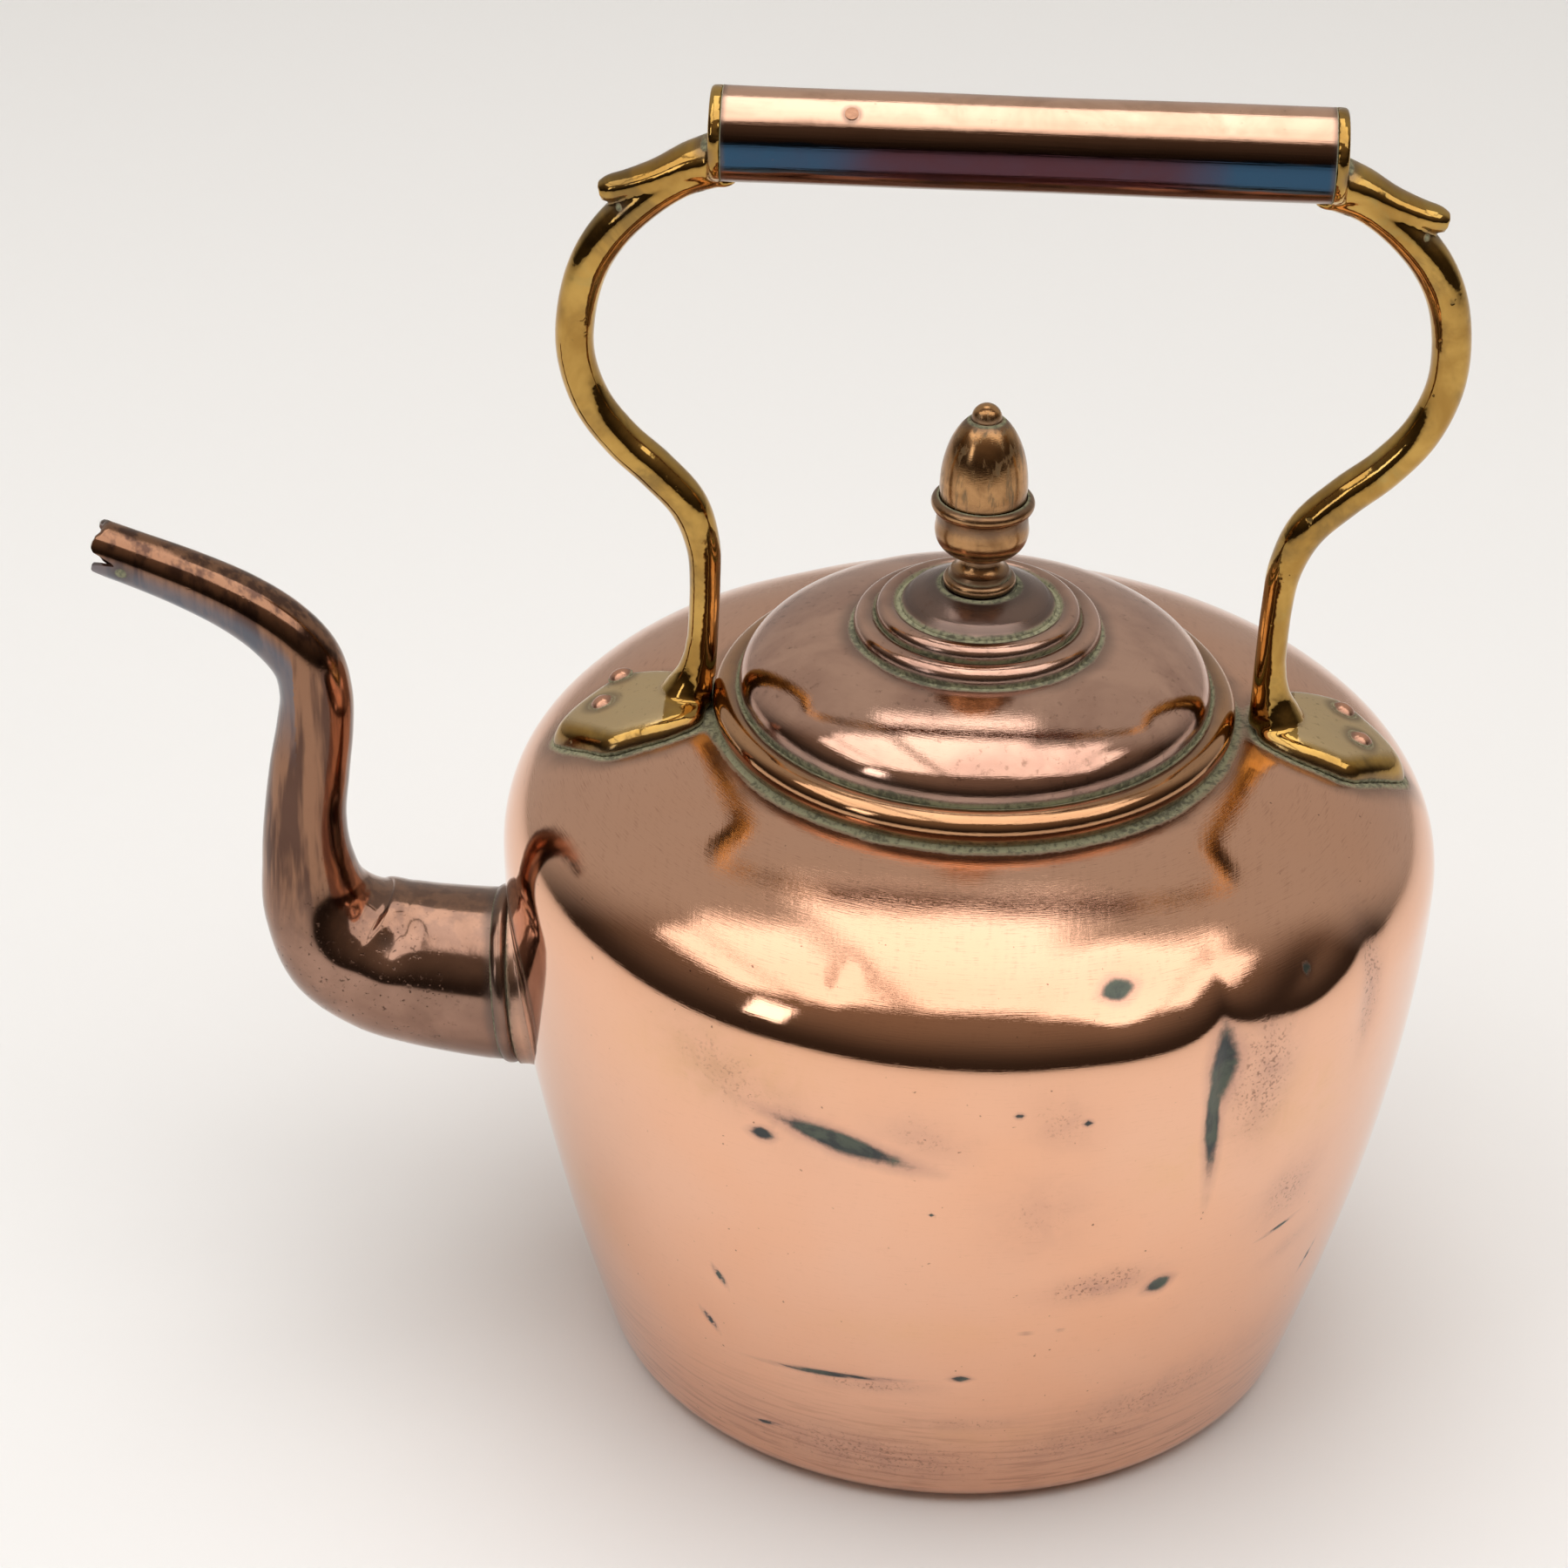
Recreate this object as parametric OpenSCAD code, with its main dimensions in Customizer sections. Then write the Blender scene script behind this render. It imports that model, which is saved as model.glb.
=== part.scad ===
/* [Body] */
// Largest radius of the body, at the waist
body_r = 105; // [95:1:115]
// Height of the waist above the table
waist_z = 127; // [115:1:140]
// Height of the crown above the waist
crown_h = 33; // [28:1:38]
// How much narrower the foot of the side is than the waist
side_draw = 24.5; // [18:0.5:30]
// Fullness of the side, from straight to round
side_power = 1.65; // [1.3:0.05:2]
// Squareness of the shoulder, 2 being elliptical
crown_power = 2.3; // [2:0.1:2.8]
// Thickness of the copper sheet of the body
wall = 1.2; // [0.9:0.1:1.6]
// Height of the seam between the side and the bottom pan
seam_z = 8; // [7:0.5:12]

/* [Mouth and lid] */
// Radius of the mouth hole
mouth_r = 50.3; // [46:0.1:50.5]
// Radius of the ring round the mouth, to the centre of its bead
ring_r = 54.2; // [54:0.1:54.5]
// Radius of the bead of the mouth ring
ring_bead_r = 3.9; // [3.7:0.1:4]
// Outer radius of the lid
lid_r = 52.3; // [52:0.1:52.6]
// Height of the lid's dome, measured to where it would become level
dome_h = 15; // [14:0.5:16]
// Thickness of the lid sheet
lid_t = 0.9; // [0.7:0.1:1.1]
// Depth of the lid flange below the mouth
flange_depth = 11; // [6:1:16]

/* [Knob] */
// Radius of the rim of the acorn cup
cup_rim_r = 11.3; // [10:0.1:12.5]
// Largest radius of the acorn
acorn_r = 9.6; // [8.5:0.1:9.8]
// Height of the acorn above its cup seat
acorn_h = 19.6; // [16:0.2:22]

/* [Handle] */
// Height of the grip's axis
grip_z = 296; // [290:1:305]
// Outer diameter of the grip tube
grip_d = 20; // [18:0.5:22]
// Distance between the outer faces of the two end plates
grip_len = 131.5; // [128:0.5:136]
// How far the top of the handle stands towards the back
handle_skew = 5.75; // [0:0.25:6]
// Thickness of the cast arms across the kettle
arm_w = 9.4; // [8:0.2:11]
// Thickness of the cast feet
foot_t = 4.4; // [3.5:0.1:5.5]

/* [Rivets] */
// Distance from the body's axis to the rivets of a foot
rivet_x = 81.5; // [80:0.5:83]
// Distance between the two rivets of a foot
rivet_gap = 11; // [10:0.5:13]
// Diameter of a rivet's shank
rivet_d = 3.6; // [3:0.1:4]
// Diameter of a rivet's head
rivet_head_d = 5.6; // [5:0.1:6.4]

/* [Spout] */
// Height of the spout's root above the table
root_z = 85; // [82:1:88]
// Outer radius of the spout at its root
root_r = 20; // [18:0.5:21]
// Outer radius of the spout at its tip
tip_r = 6.1; // [5.5:0.1:7]
// Thickness of the spout's copper
spout_t = 1.2; // [1:0.1:1.5]

/* [Hidden] */

copper = [0.80, 0.48, 0.36];
dark_copper = [0.52, 0.33, 0.26];
brass = [0.78, 0.62, 0.28];
gap = 0.05;      // clearance between pieces that are joined
cut = 1;         // how far a cutting tool runs past a face
step = 6;        // angle between the points of a drawn arc

// ---------------------------------------------------------------- helpers
// Points on an arc: centre, radius, first and last angle.
function arc(c, r, a0, a1) =
    let (n = max(2, ceil(abs(a1 - a0) / step)))
    [for (i = [0 : n]) c + r * [cos(a0 + (a1 - a0) * i / n), sin(a0 + (a1 - a0) * i / n)]];

function unit(v) = v / norm(v);
function last(p) = p[len(p) - 1];
function part_of(p, a, b) = [for (i = [a : b]) p[i]];
function backwards(p) = [for (i = [len(p) - 1 : -1 : 0]) p[i]];

// A path moved sideways by d, to the right of its direction of travel.
function path_dir(p, i) = unit(p[min(i + 1, len(p) - 1)] - p[max(i - 1, 0)]);
function beside(p, d) =
    [for (i = [0 : len(p) - 1]) let (t = path_dir(p, i)) p[i] + d * [t[1], -t[0]]];

// Smooth curve through control points, k steps to a span (Catmull-Rom).
function spline(p, k) = concat(
    [for (i = [0 : len(p) - 2], j = [0 : k - 1])
        let (
            a = p[max(i - 1, 0)], b = p[i], c = p[i + 1],
            d = p[min(i + 2, len(p) - 1)], t = j / k
        )
        0.5 * (2 * b + (c - a) * t + (2 * a - 5 * b + 4 * c - d) * t * t
            + (3 * b - a - 3 * c + d) * t * t * t)],
    [last(p)]);

// ---------------------------------------------------------------- body outline
// The side swells from the bottom to the waist; the crown is a quarter of a
// superellipse that runs in to the flat seat round the mouth.
function side_r(z) = body_r - side_draw * pow(1 - z / waist_z, side_power);

crown_in = 45;               // radius where the crown would become level
seat_r = 59;                 // radius where the flat seat round the mouth begins
crown_a = body_r - crown_in;
function crown_z(r) =
    waist_z + crown_h * pow(1 - pow((r - crown_in) / crown_a, crown_power), 1 / crown_power);
seat_z = crown_z(seat_r);

corner_r = 7.5;              // rounding between the flat bottom and the side
corner_top = side_r(corner_r);
corner_pts = arc([corner_top - corner_r, corner_r], corner_r, -90, -12);
side_n = 14;
side_pts = [for (i = [0 : side_n])
    let (z = seam_z + (waist_z - seam_z) * i / side_n) [side_r(z), z]];
crown_n = 16;
crown_end = acos(pow((seat_r - crown_in) / crown_a, crown_power / 2));
crown_pts = [for (i = [1 : crown_n])
    let (t = crown_end * i / crown_n)
    [crown_in + crown_a * pow(cos(t), 2 / crown_power),
     waist_z + crown_h * pow(sin(t), 2 / crown_power)]];
upper_pts = concat(side_pts, crown_pts, [[mouth_r, seat_z]]);
lower_pts = concat(corner_pts, [side_pts[0]]);

inner_pts = concat(beside(part_of(upper_pts, 0, len(upper_pts) - 2), -wall),
    [[mouth_r, seat_z - wall]]);

// A solid that fills the body, grown outwards by d.
module body_envelope(d) {
    grown = beside(concat(lower_pts, side_pts, crown_pts), d);
    rotate_extrude($fn = 180)
        polygon(concat([[0, -d]], grown, [[0, last(grown)[1]]]));
}

// ---------------------------------------------------------------- spout root
root_tilt = 5;               // the root's plane leans with the side of the body
root_x = -102.6;
collar_w = 4;
bore_r = root_r - spout_t;

// Turns +Z to the outward direction of the spout's root.
module at_root(t) {
    translate([root_x, 0, root_z])
        rotate([0, -90 - root_tilt, 0])
            translate([0, 0, t])
                children();
}

// ---------------------------------------------------------------- body pieces
module body_shell() {
    color(copper)
        difference() {
            rotate_extrude($fn = 96)
                polygon(concat(upper_pts, backwards(inner_pts)));
            at_root(-30)
                cylinder(r = bore_r, h = 40, $fn = 64);
            for (side = [-1, 1])
                at_rivets(side)
                    translate([0, 0, -12])
                        cylinder(d = rivet_d + 2 * gap, h = 24, $fn = 32);
        }
}

// The pan turns up inside the side, so the two sheets overlap at the seam.
module base_pan() {
    pan_in = beside(lower_pts, -wall);
    lap_out = part_of(inner_pts, 0, 1);
    lap_in = beside(part_of(side_pts, 0, 2), -2 * wall);
    color(copper)
        rotate_extrude($fn = 96)
            polygon(concat([[0, 0]], lower_pts, lap_out, [lap_in[1], lap_in[0]],
                backwards(part_of(pan_in, 0, len(pan_in) - 3)), [[0, wall]]));
}

// Round bead that stands on the seat round the mouth, with a narrow flat below.
ring_rise = ring_bead_r - 0.2;
module mouth_ring() {
    low = asin(ring_rise / ring_bead_r);
    color(copper)
        rotate_extrude($fn = 96)
            polygon(arc([ring_r, seat_z + ring_rise], ring_bead_r, -low, 180 + low));
}

// ---------------------------------------------------------------- spout pieces
module spout_flange() {
    outline = [[bore_r, 0], [21.2, 0], [21.5, -1.5], [22.1, -3], [23, -4.6], [24.4, -6.6], [24.4, -9],
        [bore_r, -9]];
    color(copper)
        difference() {
            at_root(0)
                rotate_extrude($fn = 128)
                    polygon(outline);
            body_envelope(gap);
        }
}

module spout_collar() {
    bulge = 0.9;
    half = collar_w / 2;
    round_r = (half * half + bulge * bulge) / (2 * bulge);
    reach = asin(half / round_r);
    outline = arc([root_r + bulge - round_r, half], round_r, -reach, reach);
    color(copper)
        at_root(0)
            rotate_extrude($fn = 64)
                polygon(concat([[bore_r, 0]], outline, [[bore_r, collar_w]]));
}

// Centre line of the spout and its outer radius at each point: [x, z, r].
spout_first = [root_x - (collar_w + gap) * cos(root_tilt),
    root_z - (collar_w + gap) * sin(root_tilt), root_r];
spout_line = [
    spout_first, [-115, 85.3, 19.6], [-125, 86.5, 19], [-134, 88.6, 18.3], [-143, 93.6, 16.6],
    [-149, 103, 13], [-151, 114, 10.7], [-151, 126, 9.4], [-149.6, 138, 9.1],
    [-148, 149, 8.7], [-147.4, 158, 8.2], [-149.3, 166.5, 7.9], [-155.3, 174, 7.5],
    [-164, 180.3, 7], [-175, 185.7, 6.5], [-187, 190.4, tip_r], [-195.5, 193.4, tip_r]
];
spout_sides = 24;

// Ring of points round one station of a swept tube in the X-Z plane.
function ring_at(s, dir, r) =
    [for (k = [0 : spout_sides - 1])
        let (a = 360 * k / spout_sides)
        [s[0] - r * cos(a) * dir[1], r * sin(a), s[1] + r * cos(a) * dir[0]]];

module spout_tube() {
    line = spline(spout_line, 2);
    n = len(line);
    start = [-cos(root_tilt), -sin(root_tilt)];
    dirs = [for (i = [0 : n - 1])
        i == 0 ? start : path_dir([for (q = line) [q[0], q[1]]], i)];
    outer = [for (i = [0 : n - 1], v = ring_at(line[i], dirs[i], line[i][2])) v];
    inner = [for (i = [0 : n - 1], v = ring_at(line[i], dirs[i], line[i][2] - spout_t)) v];
    m = spout_sides;
    far = n * m;
    function next(k) = (k + 1) % m;
    walls = [for (i = [0 : n - 2], k = [0 : m - 1], s = [0, 1])
        let (a = i * m + k, b = i * m + next(k))
        s == 0 ? [a, b, b + m, a + m] : [far + b, far + a, far + a + m, far + b + m]];
    ends = [for (k = [0 : m - 1], s = [0, 1])
        let (e = (n - 1) * m)
        s == 0 ? [next(k), k, far + k, far + next(k)]
               : [e + k, e + next(k), far + e + next(k), far + e + k]];
    color(dark_copper)
        difference() {
            polyhedron(points = concat(outer, inner), faces = concat(walls, ends));
            beak_cut();
        }
}

// Cuts the tip to an upper lip and a longer lower lip with a notch between.
module beak_cut() {
    translate([0, 15, 0])
        rotate([90, 0, 0])
            linear_extrude(height = 30)
                polygon([[-187.5, 189.6], [-192.2, 194.4], [-190.8, 203], [-203, 203],
                    [-203, 184], [-195.6, 187.2]]);
}

// ---------------------------------------------------------------- handle
foot_z = 160;                // height at which the handle's skew starts
skew_foot = 1.6;
function skew(z) = skew_foot + (handle_skew - skew_foot) * (z - foot_z) / (grip_z - foot_z);

// Centre line of an arm before the skew: [x, z, half thickness in the plane].
arm_line = [
    [64.5, 161.5, 5.6], [63.3, 169, 4.4], [62.7, 180, 3.8], [62.7, 192, 3.8], [63.6, 200, 4],
    [67.2, 209.5, 4.3], [74.4, 217.5, 4.4], [82, 224.5, 4.3], [88.5, 233, 4.2],
    [92.2, 243, 4.1], [92.7, 253, 4.2], [90.6, 264, 4.3], [86, 273, 4.4],
    [79, 280.5, 4.3], [71.5, 285.8, 4.2], [64.5, 288.6, 4.4]
];
// Centre line of the horn over the arm: [x, z, half thickness, half width].
horn_line = [
    [64, 290.6, 5.6, 6.4], [69.5, 289.2, 4.4, 5.6], [76, 286.4, 3.3, 4.8], [82, 284.1, 2.9, 4.1],
    [86, 282.8, 2.5, 3.3], [88.2, 282.1, 1.2, 1.6]
];
arm_sides = 16;
plate_t = 2.5;
tang_len = 34;
tube_t = 1.2;
tang_r = grip_d / 2 - tube_t - gap;
half_grip = grip_len / 2;

// Swept solid in the X-Z plane with an oval section; line holds
// [x, z, half thickness, half width].
module sweep_arm(line) {
    n = len(line);
    flat = [for (q = line) [q[0], q[1]]];
    m = arm_sides;
    pts = [for (i = [0 : n - 1], k = [0 : m - 1])
        let (a = 360 * k / m, d = path_dir(flat, i), s = line[i])
        [s[0] - s[2] * cos(a) * d[1], s[3] * sin(a), s[1] + s[2] * cos(a) * d[0]]];
    walls = [for (i = [0 : n - 2], k = [0 : m - 1])
        let (a = i * m + k, b = i * m + (k + 1) % m)
        [a, b, b + m, a + m]];
    polyhedron(points = pts, faces = concat(walls,
        [[for (k = [m - 1 : -1 : 0]) k]],
        [[for (k = [0 : m - 1]) (n - 1) * m + k]]));
}

// Places a child at each rivet of a foot, +Z out of the shoulder.
rivet_lean = 20;
rivet_splay = 1.6;
rivet_back = 4.5;            // how far the rivets stand behind the middle of the foot
module at_rivets(side) {
    for (k = [-1, 1]) {
        x = side * (rivet_x - k * rivet_splay) + skew_foot;
        y = rivet_back + k * rivet_gap / 2;
        translate([x, y, crown_z(norm([x, y]))])
            rotate([0, side * rivet_lean, 0])
                children();
    }
}

// Outline of a foot seen from above, pointing along +X.
foot_toe = 95.5;
foot_heel = 61;
foot_w = 16;
foot_aside = 2;              // the front foot lies a little to the front, the rear one to the back
module foot_outline() {
    half = concat([[foot_heel, 0], [foot_heel, 6.5], [64, 10.4], [70, 13.8]],
        arc([79.5, foot_w - 7], 7, 105, 40), [[91, 7.5], [94.2, 3.4], [foot_toe, 0]]);
    polygon(concat(half, [for (i = [len(half) - 2 : -1 : 1]) [half[i][0], -half[i][1]]]));
}

module foot(side) {
    difference() {
        intersection() {
            translate([skew_foot, side * foot_aside, 130])
                linear_extrude(height = 50)
                    scale([side, 1])
                        foot_outline();
            body_envelope(foot_t);
        }
        body_envelope(0.1);
        at_rivets(side) {
            translate([0, 0, -cut])
                cylinder(d = rivet_d + 2 * gap, h = 12, $fn = 32);
            translate([0, 0, foot_t - 0.3])
                cylinder(d = rivet_head_d + 0.4, h = 6, $fn = 32);
        }
    }
}

module bracket(side) {
    plate_x = side * half_grip + handle_skew;
    arm = spline([for (q = arm_line)
        [side * q[0] + skew(q[1]), q[1], q[2], arm_w / 2 * q[2] / 4.2]], 2);
    horn = spline([for (q = horn_line) [side * q[0] + skew(q[1]), q[1], q[2], q[3]]], 2);
    color(brass) {
        foot(side);
        difference() {
            union() {
                sweep_arm(arm);
                sweep_arm(horn);
            }
            body_envelope(1);
            cylinder(r = ring_r + ring_bead_r + gap, h = seat_z + 8, $fn = 96);
            grip_room();
        }
        translate([plate_x, 0, grip_z])
            rotate([0, -side * 90, 0])
                rotate_extrude($fn = 64)
                    polygon(concat([[0, 0], [grip_d / 2 - 1, 0]],
                        arc([grip_d / 2 - 1, 1], 1, -90, 0),
                        [[grip_d / 2, plate_t], [tang_r, plate_t], [tang_r, plate_t + tang_len],
                         [0, plate_t + tang_len]]));
        toe_lug(side);
    }
}

// The space that the grip tube fills between the end plates.
module grip_room() {
    l = grip_len - 2 * plate_t;
    translate([handle_skew - l / 2, 0, grip_z])
        rotate([0, 90, 0])
            difference() {
                cylinder(r = grip_d / 2 + gap, h = l, $fn = 64);
                translate([0, 0, -cut])
                    cylinder(r = tang_r, h = l + 2 * cut, $fn = 64);
            }
}

// Small lip under the end of the grip tube.
module toe_lug(side) {
    lug_l = 6;
    lug_w = 7;
    difference() {
        translate([side * (half_grip - lug_l / 2) + handle_skew, 0, grip_z - grip_d / 2])
            cube([lug_l, lug_w, 2.6], center = true);
        translate([handle_skew - half_grip, 0, grip_z])
            rotate([0, 90, 0])
                cylinder(r = grip_d / 2 + gap, h = grip_len, $fn = 64);
    }
}

module front_bracket() {
    bracket(-1);
}

module rear_bracket() {
    bracket(1);
}

pin_r = 1.4;
pin_x = handle_skew - half_grip + 29.5;
pin_up = 52;                 // angle of the pin above the horizontal
// Turns +Z to the pin's outward direction.
module at_pin() {
    translate([pin_x, 0, grip_z])
        rotate([90 - pin_up, 0, 0])
            children();
}

module grip_tube() {
    tube_l = grip_len - 2 * plate_t - 2 * gap;
    color(dark_copper)
        difference() {
            translate([handle_skew - tube_l / 2, 0, grip_z])
                rotate([0, 90, 0])
                    difference() {
                        cylinder(d = grip_d, h = tube_l, $fn = 64);
                        translate([0, 0, -cut])
                            cylinder(d = grip_d - 2 * tube_t, h = tube_l + 2 * cut, $fn = 64);
                    }
            at_pin()
                cylinder(r = pin_r + gap, h = grip_d, $fn = 32);
        }
}

module grip_pin() {
    color(dark_copper)
        at_pin()
            translate([0, 0, grip_d / 2 - tube_t])
                cylinder(r = pin_r, h = tube_t + 0.15, $fn = 32);
}

// ---------------------------------------------------------------- rivets
module foot_rivets(side) {
    head_h = 1.7;
    head_round = (head_h * head_h + rivet_head_d * rivet_head_d / 4) / (2 * head_h);
    half_angle = asin(rivet_head_d / 2 / head_round);
    seat = foot_t - 0.3;
    shank = 8.4;
    color(copper)
        at_rivets(side)
            rotate_extrude($fn = 32)
                polygon(concat([[0, seat - shank], [rivet_d / 2, seat - shank], [rivet_d / 2, seat]],
                    arc([0, seat + head_h - head_round], head_round, 90 - half_angle, 90)));
}

module front_foot_rivets() {
    foot_rivets(-1);
}

module rear_foot_rivets() {
    foot_rivets(1);
}

// Washers inside the body, over which the rivets are hammered.
module rivet_burrs(side) {
    burr_t = 1;
    color(copper)
        at_rivets(side)
            translate([0, 0, -wall - 0.8 - burr_t])
                difference() {
                    cylinder(d = 8, h = burr_t, $fn = 32);
                    translate([0, 0, -cut])
                        cylinder(d = rivet_d + 2 * gap, h = burr_t + 2 * cut, $fn = 32);
                }
}

module front_rivet_burrs() {
    rivet_burrs(-1);
}

module rear_rivet_burrs() {
    rivet_burrs(1);
}

// ---------------------------------------------------------------- lid
// The rim rests on the inner side of the ring. The dome is a quarter of a
// superellipse that starts upright at the rim.
rim_z = seat_z + ring_rise + sqrt(pow(ring_bead_r, 2) - pow(ring_r - lid_r, 2)) + 0.12;
dome_z0 = rim_z + 0.4;
dome_in = 15;                // radius where the dome would become level
dome_power = 2.2;
dome_a = lid_r - dome_in;
dome_top_r = 27.2;           // radius where the dome meets the outer bead
dome_end = acos(pow((dome_top_r - dome_in) / dome_a, dome_power / 2));
dome_n = 24;
dome_pts = [for (i = [0 : dome_n])
    let (t = dome_end * i / dome_n)
    [dome_in + dome_a * pow(cos(t), 2 / dome_power), dome_z0 + dome_h * pow(sin(t), 2 / dome_power)]];
dome_top = last(dome_pts);
function dome_z(r) =
    dome_z0 + dome_h * pow(1 - pow((r - dome_in) / dome_a, dome_power), 1 / dome_power);

bead1_r = 2.9;
bead1_c = dome_top + [-2.8, 1.2];
bead2_r = 2.5;
bead2_c = bead1_c + [-4.4, 3.2];
boss_edge = bead2_c + [-3, 2.2];
finial_z = boss_edge[1] + 4;
finial_seat_r = 8.4;
stem_r = 2;

lid_pts = concat(
    [[lid_r, rim_z]],
    dome_pts,
    arc(bead1_c, bead1_r, -18, 140),
    arc(bead2_c, bead2_r, -8, 142),
    arc(boss_edge + [-1, -0.6], 1.2, 10, 62),
    arc([0, finial_z - 30.5], 32, 61.5, 74.8),
    [[finial_seat_r - 0.4, finial_z], [stem_r + gap, finial_z]]);

module lid_dome() {
    color(copper)
        rotate_extrude($fn = 96)
            polygon(concat(lid_pts, backwards(concat([[lid_r - lid_t, rim_z]],
                beside(part_of(lid_pts, 1, len(lid_pts) - 3), -lid_t),
                [[finial_seat_r - 0.4, finial_z - lid_t], [stem_r + gap, finial_z - lid_t]]))));
}

// Band under the lid that drops into the mouth.
flange_r = mouth_r - 0.5;
module lid_flange() {
    band_t = 0.8;
    under = lid_t + 0.7;
    low_z = seat_z - flange_depth;
    color(copper)
        rotate_extrude($fn = 96)
            polygon([[flange_r, low_z], [flange_r, dome_z(flange_r) - under],
                [flange_r - band_t, dome_z(flange_r - band_t) - under], [flange_r - band_t, low_z]]);
}

// ---------------------------------------------------------------- knob
waist_up = 7.1;              // height of the pedestal's waist above the lid
cup_z = finial_z + 8.2;
cup_seat = cup_z + 12.6;

module finial_pedestal() {
    color(brass)
        rotate_extrude($fn = 64)
            polygon(concat([[stem_r + gap, finial_z]],
                arc([6.6, finial_z + 1.4], 1.4, -90, 80),
                [[6.9, finial_z + 3]],
                arc([7.5, finial_z + waist_up], 3.3, 250, 180),
                [[4.4, cup_z], [stem_r + gap, cup_z]]));
}

module acorn_cup() {
    bowl_c = [4.6, cup_z + 6];
    color(brass)
        rotate_extrude($fn = 64)
            polygon(concat([[stem_r + gap, cup_z], [4.6, cup_z]],
                arc(bowl_c, 5.7, -75, 12),
                [[cup_rim_r - 1.4, cup_z + 9.6]],
                arc([cup_rim_r - 1.6, cup_z + 12.4], 1.6, -75, 90),
                [[acorn_r + 0.15, cup_z + 13.8], [acorn_r + 0.15, cup_seat], [stem_r + gap, cup_seat]]));
}

// The acorn is half of a tall ellipsoid on a short straight foot, cut flat
// where the button of the spindle sits on it.
acorn_foot = 3.6;
acorn_rise = acorn_h - 2;
acorn_last = acos(3.7 / acorn_r);
nut_face = cup_seat + acorn_foot + acorn_rise * sin(acorn_last);

module acorn_nut() {
    color(brass)
        rotate_extrude($fn = 64)
            polygon(concat([[stem_r + gap, cup_seat], [acorn_r - 0.3, cup_seat]],
                [for (i = [0 : 12])
                    let (a = acorn_last * i / 12)
                    [acorn_r * cos(a), cup_seat + acorn_foot + acorn_rise * sin(a)]],
                [[stem_r + gap, nut_face]]));
}

// Rod through the whole knob, with a domed button head at the tip.
module finial_spindle() {
    head_r = 3.3;
    below = 3;
    color(brass)
        rotate_extrude($fn = 48)
            polygon(concat([[0, finial_z - lid_t - below], [stem_r, finial_z - lid_t - below],
                [stem_r, nut_face], [head_r, nut_face]],
                arc([0, nut_face + 0.2], head_r, 4, 90)));
}

module spindle_burr() {
    burr_t = 1;
    color(copper)
        translate([0, 0, finial_z - lid_t - gap - burr_t])
            difference() {
                cylinder(r = 5, h = burr_t, $fn = 48);
                translate([0, 0, -cut])
                    cylinder(r = stem_r + gap, h = burr_t + 2 * cut, $fn = 48);
            }
}

body_shell();
base_pan();
mouth_ring();
spout_flange();
spout_collar();
spout_tube();
front_bracket();
rear_bracket();
grip_tube();
grip_pin();
front_foot_rivets();
rear_foot_rivets();
front_rivet_burrs();
rear_rivet_burrs();
lid_dome();
lid_flange();
finial_pedestal();
acorn_cup();
acorn_nut();
finial_spindle();
spindle_burr();
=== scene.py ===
import math

import bmesh
import bpy
import numpy as np
from mathutils import Matrix, Vector


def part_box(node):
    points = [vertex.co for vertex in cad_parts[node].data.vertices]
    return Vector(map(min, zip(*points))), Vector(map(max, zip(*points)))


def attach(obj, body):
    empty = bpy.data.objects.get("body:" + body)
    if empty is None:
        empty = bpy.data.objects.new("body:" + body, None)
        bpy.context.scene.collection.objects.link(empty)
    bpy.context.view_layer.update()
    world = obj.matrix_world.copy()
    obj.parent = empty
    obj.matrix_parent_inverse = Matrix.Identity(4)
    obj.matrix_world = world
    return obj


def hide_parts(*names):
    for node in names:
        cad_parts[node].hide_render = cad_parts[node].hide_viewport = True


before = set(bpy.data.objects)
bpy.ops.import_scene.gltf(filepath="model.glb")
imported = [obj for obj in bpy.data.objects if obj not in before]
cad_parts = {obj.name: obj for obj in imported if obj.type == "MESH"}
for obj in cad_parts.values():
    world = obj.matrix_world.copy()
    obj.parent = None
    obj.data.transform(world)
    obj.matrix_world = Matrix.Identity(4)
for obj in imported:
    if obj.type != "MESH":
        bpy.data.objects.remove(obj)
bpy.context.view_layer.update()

MM = 0.001


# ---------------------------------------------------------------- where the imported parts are
def span(node):
    """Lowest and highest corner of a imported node, in millimetres."""
    low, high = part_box(node)
    return np.array(low) / MM, np.array(high) / MM


BODY_LOW, BODY_HIGH = span("body_shell")
BODY_R = BODY_HIGH[1]
SEAM_Z = BODY_LOW[2]
SEAT_Z = BODY_HIGH[2]
LID_LOW, LID_HIGH = span("lid_dome")
LID_R = LID_HIGH[0]
RIM_Z = LID_LOW[2]
FINIAL_Z = LID_HIGH[2]
CUP_LOW, CUP_HIGH = span("acorn_cup")
NUT_LOW, NUT_HIGH = span("acorn_nut")
GRIP_LOW, GRIP_HIGH = span("grip_tube")
GRIP_Z = (GRIP_LOW[2] + GRIP_HIGH[2]) / 2
GRIP_R = (GRIP_HIGH[2] - GRIP_LOW[2]) / 2
RING_LOW, RING_HIGH = span("mouth_ring")

WAIST_Z = 127.0      # height of the widest part of the body
CROWN_H = 33.0       # rise of the crown above the waist
SIDE_DRAW = 24.5     # how far the side draws in to the bottom
SIDE_POWER = 1.65
CROWN_IN = 45.0      # radius at which the crown would be level
CROWN_POWER = 2.3
SEAT_R = 59.0        # radius where the flat seat round the mouth begins
MOUTH_R = 50.3
WALL = 1.2
FOOT_T = 4.4         # thickness of the handle's feet on the shoulder
RIVET_R = 3.1        # edge of the dirt round a rivet's head
SPINDLE_HOLE_R = 2.05
MIDDLE_R = 8.0       # flat on the lid's raised middle


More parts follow.
